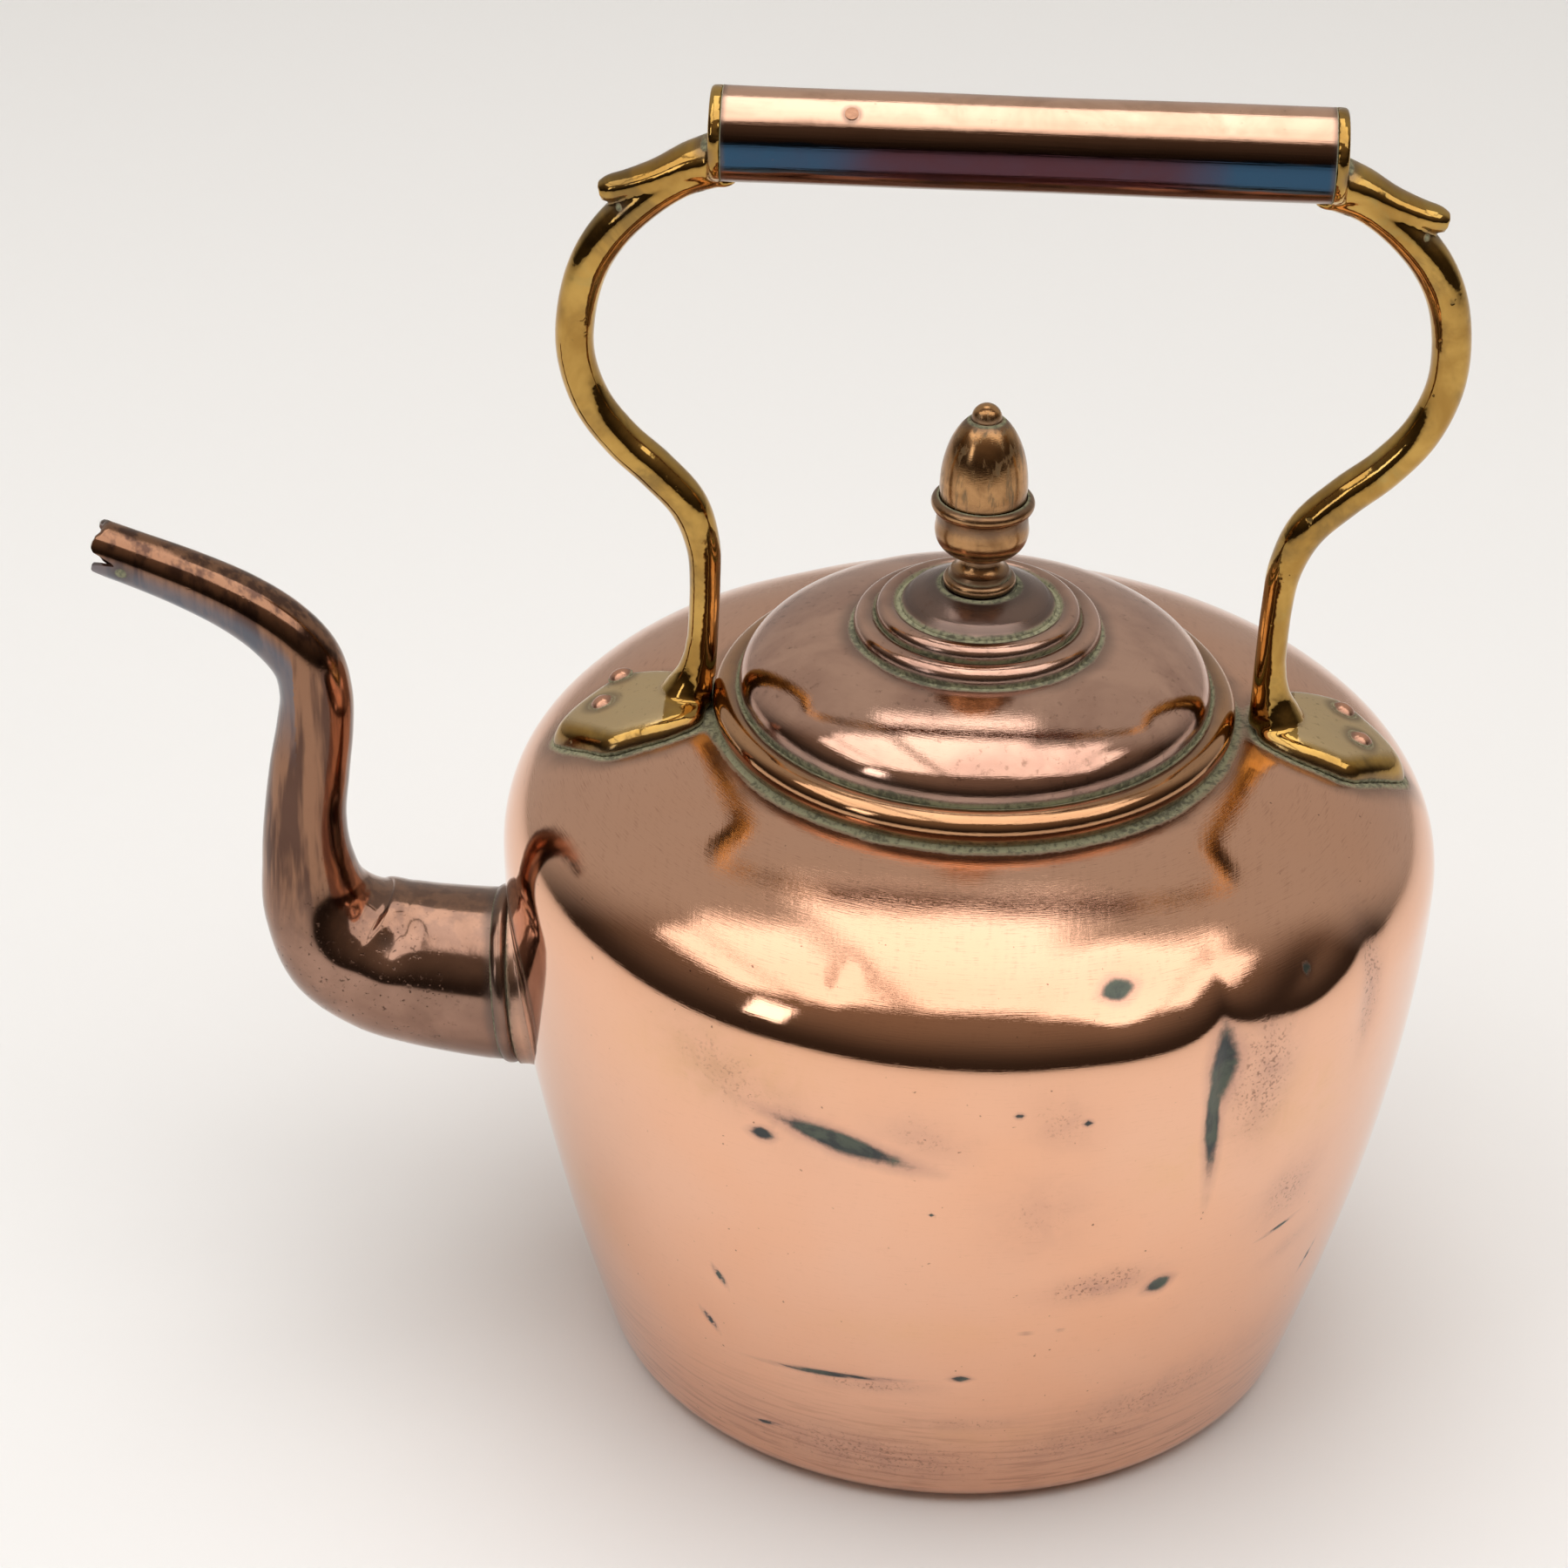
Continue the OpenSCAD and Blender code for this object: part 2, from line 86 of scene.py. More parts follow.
# ---------------------------------------------------------------- lines and surfaces
def side_r(z):
    """Radius of the side at height z: it draws in by a power of the distance below the waist."""
    return BODY_R - SIDE_DRAW * np.clip(1 - z / WAIST_Z, 0, 1) ** SIDE_POWER


def crown_z(r):
    """Height of the crown at radius r: a quarter of a superellipse standing on the waist."""
    u = np.clip((r - CROWN_IN) / (BODY_R - CROWN_IN), 0, 1)
    return WAIST_Z + CROWN_H * (1 - u ** CROWN_POWER) ** (1 / CROWN_POWER)


def shoulder_z(r):
    """Height of the shoulder at radius r, level inside the seat's edge."""
    return crown_z(np.maximum(r, SEAT_R))


def shoulder_lean(r):
    """Cosine of the shoulder's slope at radius r."""
    rise = (shoulder_z(r + 0.05) - shoulder_z(r - 0.05)) / 0.1
    return 1 / np.sqrt(1 + rise ** 2)


def arc(centre, radius, first, last, count=16):
    """Points on an arc: the centre plus the radius turned from the first angle to the last."""
    a = np.radians(np.linspace(first, last, count))
    return np.stack([centre[0] + radius * np.cos(a), centre[1] + radius * np.sin(a)], -1)


def evenly(line, spacing=None, count=None):
    """The same line with its points at even distances along it."""
    line = np.asarray(line, float)
    steps = np.linalg.norm(np.diff(line[:, :2], axis=0), axis=1)
    along = np.concatenate([[0], np.cumsum(steps)])
    count = count or max(2, int(round(along[-1] / spacing)) + 1)
    where = np.linspace(0, along[-1], count)
    return np.stack([np.interp(where, along, line[:, k]) for k in range(line.shape[1])], -1)


def spline(knots, count):
    """Catmull-Rom curve through the knots: a cubic blend of each four neighbours, evenly spaced."""
    p = np.asarray(knots, float)
    p = np.concatenate([p[:1], p, p[-1:]])
    t = np.linspace(0, 1, 24, endpoint=False)[None, :, None]
    a, b, c, d = (p[i:len(p) - 3 + i, None, :] for i in range(4))
    curve = 0.5 * (2 * b + (c - a) * t + (2 * a - 5 * b + 4 * c - d) * t ** 2
                   + (3 * b - a - 3 * c + d) * t ** 3)
    return evenly(np.concatenate([curve.reshape(-1, p.shape[1]), p[-1:]]), count=count)


def directions(line):
    """Unit direction of travel at each point of a line in a plane."""
    d = np.gradient(line[:, :2], axis=0)
    return d / np.linalg.norm(d, axis=1, keepdims=True)


def beside(line, gap):
    """A line moved by gap to the right of its direction of travel."""
    d = directions(line)
    return line[:, :2] + gap * np.stack([d[:, 1], -d[:, 0]], -1)


def grid_faces(rows, columns, loop):
    """Quads between neighbouring rows and columns; columns close, and rows too if loop is true."""
    r = np.arange(rows if loop else rows - 1)[:, None]
    c = np.arange(columns)[None, :]
    below, above = r * columns, (r + 1) % rows * columns
    right = (c + 1) % columns
    return np.stack([below + c, below + right, above + right, above + c], -1).reshape(-1, 4)


def revolve(profile, columns=160, crowd=0.0):
    """Profile (r, z) carried round the axis: x = r cos a, y = r sin a. The angle a goes evenly from
    the side that faces -Y, or closer together there by a - crowd sin a."""
    t = np.linspace(-math.pi, math.pi, columns, endpoint=False)
    a = -math.pi / 2 + t - crowd * np.sin(t)
    r = profile[:, 0][:, None]
    z = np.broadcast_to(profile[:, 1][:, None], (len(profile), columns))
    return np.stack([r * np.cos(a), r * np.sin(a), z], -1), a


def along_x(points, x, z):
    """Turns a piece made about +Z so that +Z becomes +X, on the line y = 0 at height z."""
    return np.stack([points[..., 2] + x, points[..., 1], z - points[..., 0]], -1)


# ---------------------------------------------------------------- node expressions
class Wire:
    """A node's output. Sums and products of wires and numbers add their Math nodes."""

    def __init__(self, finish, socket):
        self.finish = finish
        self.socket = socket

    def do(self, operation, a, b):
        return self.finish.node("ShaderNodeMath", {"operation": operation}, [a, b])

    def __add__(self, other):
        return self.do("ADD", self, other)

    def __radd__(self, other):
        return self.do("ADD", other, self)

    def __sub__(self, other):
        return self.do("SUBTRACT", self, other)

    def __rsub__(self, other):
        return self.do("SUBTRACT", other, self)

    def __mul__(self, other):
        return self.do("MULTIPLY", self, other)

    def __rmul__(self, other):
        return self.do("MULTIPLY", other, self)

    def __pow__(self, other):
        return self.do("POWER", self, other)


class Finish:
    """One material, or the surroundings, and the nodes of its surface."""

    def __init__(self, name, world=None):
        self.material = world or bpy.data.materials.new(name)
        self.material.use_nodes = True
        self.tree = self.material.node_tree
        self.surface = self.tree.nodes["Background" if world else "Principled BSDF"]
        self.place = self.node("ShaderNodeTexCoord", output="Generated" if world else "Object")

    def node(self, kind, settings=None, inputs=(), output=0):
        """Adds a node: its settings first, then the value or wire of each socket."""
        made = self.tree.nodes.new(kind)
        for key, value in (settings or {}).items():
            setattr(made, key, value)
        for key, value in inputs.items() if isinstance(inputs, dict) else enumerate(inputs):
            self.feed(made.inputs[key], value)
        return Wire(self, made.outputs[output])

    def feed(self, socket, value):
        if isinstance(value, Wire):
            self.tree.links.new(value.socket, socket)
        else:
            socket.default_value = value

    def set(self, **values):
        """Sets the shader's own sockets; an underscore in a name stands for a space."""
        for key, value in values.items():
            self.feed(self.surface.inputs[key.replace("_", " ")], value)

    def done(self, colour, metallic, roughness, normal):
        """Sets the four sockets that every metal here uses, and gives the material."""
        self.set(Base_Color=colour, Metallic=metallic, Roughness=roughness, Normal=normal)
        return self.material

    def noise(self, scale, detail=2.0, roughness=0.5, at=None, distortion=0.0):
        values = {"Vector": at or self.place, "Scale": scale, "Detail": detail,
                  "Roughness": roughness, "Distortion": distortion}
        return self.node("ShaderNodeTexNoise", inputs=values)

    def smooth(self, value, low, high):
        """0 at low, 1 at high, with a soft step between; low may be the larger."""
        return self.node("ShaderNodeMapRange", {"interpolation_type": "SMOOTHSTEP"},
                         {"Value": value, "From Min": low, "From Max": high})

    def blend(self, share, first, second):
        """Colour that goes from the first to the second as share goes from 0 to 1."""
        return self.node("ShaderNodeMix", {"data_type": "RGBA"}, {0: share, 6: first, 7: second}, 2)

    def mark(self, name):
        """A number stored at the mesh's points."""
        return self.node("ShaderNodeAttribute", {"attribute_name": name}, output="Fac")

    def axes(self):
        """X, Y and Z of the place on the object, in metres."""
        split = self.node("ShaderNodeSeparateXYZ", inputs=[self.place]).socket.node
        return [Wire(self, socket) for socket in split.outputs]

    def vector(self, x, y, z):
        return self.node("ShaderNodeCombineXYZ", inputs=[x, y, z])

    def round_the_axis(self, turns, lines):
        """Place measured round the axis and along the profile, stretched into long fine lines."""
        x, y, z = self.axes()
        angle = self.node("ShaderNodeMath", {"operation": "ARCTAN2"}, [y, x])
        radius = (x * x + y * y) ** 0.5
        return self.vector(angle * turns, (z - radius) * lines, 0.0)

    def bump(self, height, strength, distance, below=None):
        values = {"Height": height, "Strength": strength, "Distance": distance}
        if below:
            values["Normal"] = below
        return self.node("ShaderNodeBump", inputs=values)


# ---------------------------------------------------------------- finishes
PALE_COPPER = (0.86, 0.51, 0.355, 1)
WARM_COPPER = (0.86, 0.47, 0.30, 1)
GOLDEN_COPPER = (0.78, 0.46, 0.20, 1)
BROWN_COPPER = (0.52, 0.27, 0.18, 1)
DEEP_BROWN = (0.16, 0.085, 0.055, 1)
PURPLE_BROWN = (0.36, 0.21, 0.185, 1)
TARNISH = (0.055, 0.060, 0.060, 1)
VERDIGRIS = (0.34, 0.345, 0.21, 1)
OLD_WAX = (0.11, 0.115, 0.07, 1)
# dark brown-grey round the crevices: partly tarnish, partly painted shade
STAIN_AND_SHADE = (0.12, 0.095, 0.085, 1)


def residue(f, colour, metallic, roughness, reach=1.0):
    """Pale green polish residue in the crevices, on a darker band that fades away from them: partly
    real tarnish, partly painted shade where parts meet.
    """
    gap = f.mark("crevice")
    broad = f.noise(70, 3)
    fine = f.noise(900, 4, 0.6)
    # partly painted shade: darkening that fades out over several millimetres from each crevice,
    # partly real tarnish
    stain_and_shade = f.smooth(gap + (broad - 0.5) * 6 * reach, 6.5 * reach, 0.3) * 0.6
    edge = gap + (fine - 0.5) * 1.2 * reach + (broad - 0.5) * 2.4 * reach
    crust = f.smooth(edge, 1.7 * reach, 0.4 * reach)
    colour = f.blend(stain_and_shade, colour, STAIN_AND_SHADE)
    crusted = f.blend(f.smooth(fine + (broad - 0.5) * 0.6, 0.32, 0.60), OLD_WAX, VERDIGRIS)
    colour = f.blend(crust * 0.9, colour, crusted)
    return colour, metallic * (1 - crust), roughness + stain_and_shade * 0.26 + crust * 0.5, crust


def scratches(f, lines=2600, turns=16):
    """Fine polishing lines round the axis, and shorter ones across them."""
    fine = f.noise(1.0, 3, 0.6, at=f.round_the_axis(turns, lines))
    cross = f.noise(900, 2, 0.5, at=f.node(
        "ShaderNodeMapping", inputs={0: f.place, 2: (0.5, 0.2, 0.9), 3: (1, 0.06, 0.4)}))
    return fine * 0.7 + cross * 0.3


def body_copper():
    """Pale polished copper with fine lines on the shoulder, dark dents, specks and smears; some
    smears are painted shade and reflection beside the dents.
    """
    f = Finish("body_copper")
    z = f.axes()[2]
    shoulder = f.smooth(z, 0.136, 0.152)
    lines = scratches(f)
    cloud = f.noise(14, 3, 0.55)
    mottle = f.noise(120, 5, 0.62, distortion=0.6)
    speckle = f.noise(520, 4, 0.65)
    smear_and_shade = f.mark("smear_and_shade")
    dots = f.noise(1300, 2, 0.5)
    streaks = f.noise(1.0, 4, 0.6, at=f.round_the_axis(5, 1100))
    foot = f.smooth(z + (cloud - 0.5) * 0.02, 0.046, 0.008)
    colour = f.blend(f.smooth(cloud, 0.3, 0.75), PALE_COPPER, WARM_COPPER)
    colour = f.blend(f.mark("golden") * f.smooth(mottle, 0.2, 0.8) * 0.6, colour, GOLDEN_COPPER)
    colour = f.blend(shoulder * 0.30, colour, BROWN_COPPER)
    colour = f.blend(f.smooth(lines, 0.48, 0.30) * (0.12 + shoulder * 0.60), colour, BROWN_COPPER)
    colour = f.blend(foot * (0.22 + 0.55 * f.smooth(streaks, 0.46, 0.66)), colour, BROWN_COPPER)
    # partly painted shade and reflection: purple-brown patches, some laid beside and over the dents,
    # the rest real smears
    colour = f.blend(smear_and_shade * (0.35 + 0.3 * f.smooth(mottle, 0.35, 0.65)), colour, PURPLE_BROWN)
    dotted = f.smooth(dots, 0.54, 0.66) * f.smooth(smear_and_shade + (speckle - 0.5) * 0.8, 0.22, 0.75)
    colour = f.blend(dotted * 0.6, colour, DEEP_BROWN)
    specks = f.smooth(f.noise(760, 1), 0.76, 0.82) * f.smooth(cloud, 0.36, 0.58)
    colour = f.blend(specks * 0.75, colour, DEEP_BROWN)
    level = f.mark("tarnish")
    halo = f.smooth(level + (mottle - 0.5) * 0.9, -1.2, 0.1) * 0.45
    core = f.smooth(level + (speckle - 0.5) * 0.4 + (mottle - 0.5) * 0.6, -0.35, 0.25)
    colour = f.blend(halo, colour, PURPLE_BROWN)
    spot = f.blend(f.smooth(mottle, 0.4, 0.6), TARNISH, (0.10, 0.115, 0.09, 1))
    colour = f.blend(core, colour, spot)
    metallic = 1 - core * 0.30
    roughness = 0.03 + cloud * 0.035 + shoulder * 0.035 + smear_and_shade * 0.10 + halo * 0.1 + core * 0.22
    colour, metallic, roughness, crust = residue(f, colour, metallic, roughness)
    fine = f.bump(lines * (0.4 + shoulder), 0.14, 0.0002)
    pitted = f.bump(speckle * (smear_and_shade + core) + crust * 0.8, 0.22, 0.0004, below=fine)
    return f.done(colour, metallic, roughness, pitted)


def ring_copper():
    """Golden brown copper, kept bright by the lid and the cloth."""
    f = Finish("ring_copper")
    lines = scratches(f, 3200, 22)
    cloud = f.noise(40, 3)
    colour = f.blend(cloud, (0.64, 0.36, 0.19, 1), (0.45, 0.23, 0.12, 1))
    colour = f.blend(f.smooth(lines, 0.44, 0.30) * 0.4, colour, DEEP_BROWN)
    colour, metallic, roughness, crust = residue(f, colour, 1.0, 0.045 + cloud * 0.05, 0.6)
    normal = f.bump(lines + crust, 0.10, 0.0002)
    return f.done(colour, metallic, roughness, normal)


def lid_copper():
    """Browner copper than the body, dark over the raised middle."""
    f = Finish("lid_copper")
    x, y = f.axes()[:2]
    radius = (x * x + y * y) ** 0.5
    lines = scratches(f, 2400, 14)
    cloud = f.noise(38, 4, 0.6, distortion=0.4)
    speckle = f.noise(480, 4, 0.65)
    colour = f.blend(f.smooth(cloud, 0.35, 0.7), (0.70, 0.43, 0.32, 1), (0.50, 0.29, 0.22, 1))
    colour = f.blend(f.smooth(lines, 0.46, 0.30) * 0.3, colour, BROWN_COPPER)
    middle = f.smooth(radius + (cloud - 0.5) * 0.001, 0.0172, 0.0160)
    colour = f.blend(middle * 0.80, colour, (0.13, 0.095, 0.085, 1))
    colour = f.blend(f.smooth(speckle + (cloud - 0.5) * 0.5, 0.60, 0.76) * 0.5, colour, DEEP_BROWN)
    roughness = 0.05 + cloud * 0.05 + middle * 0.12
    colour, metallic, roughness, crust = residue(f, colour, 1.0, roughness, 0.7)
    normal = f.bump(lines + speckle * 0.3 + crust, 0.10, 0.0003)
    return f.done(colour, metallic, roughness, normal)


def spout_copper():
    """Heat-browned copper, pitted at the elbow and blue-grey under the tip."""
    f = Finish("spout_copper")
    x, y, z = f.axes()
    cloud = f.noise(45, 4, 0.6, distortion=0.5)
    speckle = f.noise(900, 3, 0.6)
    elbow = f.smooth(z, 0.112, 0.088) * f.smooth(x, -0.112, -0.124)
    colour = f.blend(f.smooth(cloud, 0.3, 0.7), (0.38, 0.225, 0.165, 1), (0.25, 0.145, 0.105, 1))
    rise = f.smooth(z, 0.094, 0.118)
    drawn = f.noise(1.0, 3, 0.6, at=f.vector(x * 260, y * 260, z * 22))
    risen = f.blend(f.smooth(drawn, 0.40, 0.60), (0.30, 0.155, 0.092, 1), (0.10, 0.052, 0.038, 1))
    colour = f.blend(rise * 0.9, colour, risen)
    heat = f.smooth(z, 0.140, 0.165) * f.smooth(f.mark("under"), 0.15, 0.85)
    colour = f.blend(heat * 0.7, colour, (0.13, 0.16, 0.20, 1))
    pits = f.smooth(speckle, 0.60, 0.72) * (elbow * 0.8 + 0.12)
    colour = f.blend(pits, colour, (0.10, 0.055, 0.04, 1))
    roughness = 0.08 + cloud * 0.08 + pits * 0.3
    colour, metallic, roughness, crust = residue(f, colour, 1.0, roughness, 0.45)
    normal = f.bump(drawn * 0.4 - pits + crust, 0.22, 0.0003)
    return f.done(colour, metallic, roughness, normal)


def grip_copper():
    """Copper painted dark brown below the middle, a painted reflection of dark surroundings that
    leaves only the top light, with a crisp band of heat colour low down: blue towards the ends,
    purple between them."""
    f = Finish("grip_copper")
    x, y, z = f.axes()
    middle = GRIP_Z * MM
    cloud = f.noise(55, 4, 0.6, distortion=0.6)
    speckle = f.noise(700, 3, 0.6)
    wander = (cloud - 0.5) * 0.0022
    colour = f.blend(f.smooth(cloud, 0.35, 0.7), (0.80, 0.50, 0.36, 1), (0.60, 0.36, 0.25, 1))
    # painted reflection: below the middle the tube is painted dark brown, as if it reflected dark
    # surroundings
    painted_dark_reflection = f.smooth(z + wander, middle + 0.0070, middle + 0.0052)
    colour = f.blend(painted_dark_reflection * 0.86, colour, (0.10, 0.048, 0.028, 1))
    blue_ends = f.smooth(f.smooth(x, 0.026, 0.060) + f.smooth(x, -0.014, -0.048), 0.0, 0.9)
    tint = f.blend(blue_ends + (cloud - 0.5) * 0.6,
                   (0.085, 0.034, 0.042, 1), (0.034, 0.080, 0.14, 1))
    band = f.smooth(z + wander, middle + 0.0026, middle + 0.0018)
    colour = f.blend(band, colour, tint)
    edge = f.smooth(z + wander, middle - 0.0046, middle - 0.0052)
    colour = f.blend(edge, colour, (0.16, 0.080, 0.048, 1))
    colour = f.blend(f.smooth(speckle, 0.66, 0.8) * 0.4, colour, DEEP_BROWN)
    long_lines = f.noise(1.0, 3, 0.6, at=f.vector(x * 60, y * 2500, z * 2500))
    colour, metallic, roughness, crust = residue(f, colour, 1.0, 0.07 + cloud * 0.07, 0.25)
    normal = f.bump(long_lines + crust, 0.09, 0.0003)
    return f.done(colour, metallic, roughness, normal)


def pin_copper():
    """The worn end of the pin in the grip."""
    f = Finish("pin_copper")
    cloud = f.noise(900, 3)
    colour = f.blend(cloud, (0.50, 0.27, 0.17, 1), (0.26, 0.13, 0.085, 1))
    normal = f.bump(cloud, 0.2, 0.0002)
    return f.done(colour, 1.0, 0.16 + cloud * 0.1, normal)


def cast_brass():
    """Polished cast brass: brown-gold arms with dark and green patina, a duller face on the feet,
    casting pits and green crevices."""
    f = Finish("cast_brass")
    cloud = f.noise(60, 4, 0.6, distortion=0.4)
    patina = f.noise(34, 5, 0.65, distortion=0.8)
    speckle = f.noise(650, 3, 0.6)
    pits = f.smooth(f.noise(380, 2, 0.5), 0.70, 0.78) * f.smooth(cloud, 0.48, 0.62)
    face = f.mark("face")
    colour = f.blend(f.smooth(cloud, 0.35, 0.7), (0.55, 0.335, 0.09, 1), (0.37, 0.205, 0.05, 1))
    colour = f.blend(f.smooth(patina, 0.50, 0.66) * 0.7, colour, (0.20, 0.125, 0.045, 1))
    colour = f.blend(f.smooth(patina, 0.46, 0.34) * 0.35, colour, (0.34, 0.30, 0.12, 1))
    colour = f.blend(face * 0.85, colour, (0.70, 0.53, 0.31, 1))
    colour = f.blend(pits * 0.8, colour, (0.14, 0.10, 0.04, 1))
    colour = f.blend(face * f.smooth(speckle, 0.60, 0.74) * 0.5, colour, (0.30, 0.20, 0.10, 1))
    roughness = 0.045 + cloud * 0.07 + face * 0.30 + pits * 0.3
    colour, metallic, roughness, crust = residue(f, colour, 1.0, roughness, 0.45)
    wavy = f.bump(f.noise(150, 3, 0.55), 0.13, 0.0010)
    normal = f.bump(speckle * (0.12 + face) - pits * 2 + crust, 0.22, 0.0003, below=wavy)
    return f.done(colour, metallic, roughness, normal)


def knob_bronze():
    """Turned bronze browned by age, with green in the grooves and dull streaks down the acorn."""
    f = Finish("knob_bronze")
    x, y, z = f.axes()
    cloud = f.noise(120, 4, 0.6, distortion=0.6)
    acorn = f.smooth(z, (CUP_LOW[2] + 13.2) * MM, (CUP_LOW[2] + 14.2) * MM)
    streaks = f.smooth(f.noise(1.0, 3, 0.6, at=f.vector(x * 700, y * 700, z * 130)), 0.50, 0.68)
    streaks = streaks * (0.15 + acorn * 0.85)
    colour = f.blend(f.smooth(cloud, 0.3, 0.7), (0.52, 0.285, 0.125, 1), (0.28, 0.145, 0.062, 1))
    colour = f.blend(streaks * 0.55, colour, (0.15, 0.125, 0.07, 1))
    roughness = 0.12 + cloud * 0.12 + streaks * 0.22
    metallic = 1 - streaks * 0.35
    colour, metallic, roughness, crust = residue(f, colour, metallic, roughness, 0.45)
    lathe = f.noise(1.0, 2, 0.5, at=f.round_the_axis(8, 3400))
    normal = f.bump(lathe * 0.5 + crust, 0.14, 0.0003)
    return f.done(colour, metallic, roughness, normal)


def rivet_copper():
    """Bright hammered copper."""
    f = Finish("rivet_copper")
    cloud = f.noise(260, 3)
    colour = f.blend(cloud, (0.88, 0.46, 0.30, 1), (0.66, 0.32, 0.20, 1))
    colour, metallic, roughness, crust = residue(f, colour, 1.0, 0.12 + cloud * 0.10, 0.3)
    normal = f.bump(f.noise(700, 2) + crust, 0.2, 0.0003)
    return f.done(colour, metallic, roughness, normal)


def tinned_copper():
    """Dull grey tin wash, worn through to copper in patches."""
    f = Finish("tinned_copper")
    cloud = f.noise(30, 4, 0.6, distortion=0.5)
    wiped = f.noise(400, 3, 0.6)
    colour = f.blend(f.smooth(wiped, 0.3, 0.7), (0.50, 0.49, 0.46, 1), (0.33, 0.32, 0.30, 1))
    colour = f.blend(f.smooth(cloud, 0.62, 0.74) * 0.7, colour, (0.50, 0.28, 0.19, 1))
    normal = f.bump(wiped + cloud, 0.2, 0.0004)
    return f.done(colour, 0.95, 0.34 + cloud * 0.2, normal)


# ---------------------------------------------------------------- making a piece
def in_scene(name, data):
    """A new object with this mesh, light or camera, linked into the scene at the origin."""
    obj = bpy.data.objects.new(name, data)
    bpy.context.scene.collection.objects.link(obj)
    return obj


def outward(points, faces):
    """Turns all faces round if the volume that they enclose comes out negative."""
    p = points[faces]
    volume = np.einsum("ij,ij->", p[:, 0], np.cross(p[:, 1], p[:, 2]))
    volume += np.einsum("ij,ij->", p[:, 0], np.cross(p[:, 2], p[:, 3]))
    return faces if volume > 0 else faces[:, ::-1]


def solid_mesh(name, parts):
    """One mesh from closed grids of points (rows, columns, 3) in millimetres. Each part is
    (points, loop); rows that shrink to a point become poles."""
    points, faces, start = [], [], 0
    for grid, loop in parts:
        flat = grid.reshape(-1, 3)
        quads = grid_faces(grid.shape[0], grid.shape[1], loop)
        faces.append(outward(flat, quads) + start)
        points.append(flat)
        start += len(flat)
    mesh = bpy.data.meshes.new(name)
    mesh.from_pydata((np.concatenate(points) * MM).tolist(), [], np.concatenate(faces).tolist())
    welded = bmesh.new()
    welded.from_mesh(mesh)
    bmesh.ops.remove_doubles(welded, verts=welded.verts, dist=2e-7)
    welded.to_mesh(mesh)
    welded.free()
    return mesh


def points_of(mesh):
    """The mesh's points in millimetres, one row each."""
    flat = np.empty(len(mesh.vertices) * 3, np.float32)
    mesh.vertices.foreach_get("co", flat)
    return flat.reshape(-1, 3).astype(float) / MM


def piece(name, mesh, body, nodes, finishes, marks, crease=38):
    """Finishes a piece: smooth shading but for sharp corners, then its marks, materials, body
    and node."""
    mesh.shade_smooth()
    mesh.set_sharp_from_angle(angle=math.radians(crease))
    place = points_of(mesh)
    for key, value in marks.items():
        stored = mesh.attributes.new(key, "FLOAT", "POINT")
        stored.data.foreach_set("value", value(place).astype(np.float32))
    obj = in_scene(name, mesh)
    for finish in finishes:
        mesh.materials.append(finish)
    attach(obj, body)
    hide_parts(*nodes)
    return obj


def everywhere(value):
    """The same number at every point."""
    return lambda p: np.full(len(p), float(value))


def near_circles(circles):
    """Distance from a point to the nearest of the grooves (r, z, half width) round the axis."""
    def distance(p):
        r = np.hypot(p[:, 0], p[:, 1])
        return np.min([np.hypot(r - c[0], p[:, 2] - c[1]) - c[2] for c in circles], axis=0)
    return distance


def turned(name, profile, body, finish, crevices, columns=160, loop=True):
    """Solid of revolution from a profile (r, z), with residue near the circles in crevices."""
    points = revolve(np.asarray(profile, float), columns)[0]
    mesh = solid_mesh(name, [(points, loop)])
    return piece(name + "_look", mesh, body, [name], [finish],
                 {"crevice": near_circles(crevices)})


# ---------------------------------------------------------------- body
def rounded_foot_plan(count):
    """Outline of a foot seen from above, pointing along +X: a blunt heel, full sides, a pointed
    toe."""
    half = np.concatenate([
        [[61, 0], [61, 4.5], [61.6, 7.8], [64, 10.6], [70, 14.0]],
        arc((79.5, 9), 7, 105, 40, 5),
        [[91, 7.6], [94.4, 3.4], [95.5, 0]]])
    closed = np.concatenate([half, (half * [1, -1])[-2:0:-1], half[:1]])
    return spline(closed, count + 1)[:-1]


FOOT_SHIFT = 1.6
FOOT_ASIDE = 2.0     # the front foot lies a little to the front, the rear one to the back
FOOT_PLAN = rounded_foot_plan(120)


def foot_plan_at(side):
    """The foot's outline on the kettle, side -1 being the spout's side."""
    return FOOT_PLAN * [side, 1] + [FOOT_SHIFT, side * FOOT_ASIDE]


def far_from_outline(p, outline):
    """Distance in plan from each point to the nearest stretch of a closed outline."""
    a = outline[None]
    step = np.roll(outline, -1, axis=0)[None] - a
    gap = p[:, None, :2] - a
    t = np.clip((gap * step).sum(-1) / (step ** 2).sum(-1), 0, 1)
    return np.linalg.norm(gap - t[..., None] * step, axis=-1).min(1)


ROOT = np.array([-102.6, 0.0, 85.0])
ROOT_TILT = math.radians(5)
ROOT_AXIS = np.array([-math.cos(ROOT_TILT), 0.0, -math.sin(ROOT_TILT)])


def side_by_spout(z):
    """Radius of the side at height z, held level below the corner and above the waist."""
    return side_r(np.clip(z, 10, WAIST_Z - 1))


def at_root(points):
    """Turns +Z of a turned piece to the spout's outward direction at its root."""
    side = np.array([0.0, 1.0, 0.0])
    up = np.cross(ROOT_AXIS, side)
    return ROOT + points[..., :1] * up + points[..., 1:2] * side + points[..., 2:] * ROOT_AXIS


def from_root_axis(p):
    """Distance of each point from the line through the middle of the spout's root."""
    gap = p - ROOT
    return np.linalg.norm(gap - (gap @ ROOT_AXIS)[:, None] * ROOT_AXIS, axis=1)


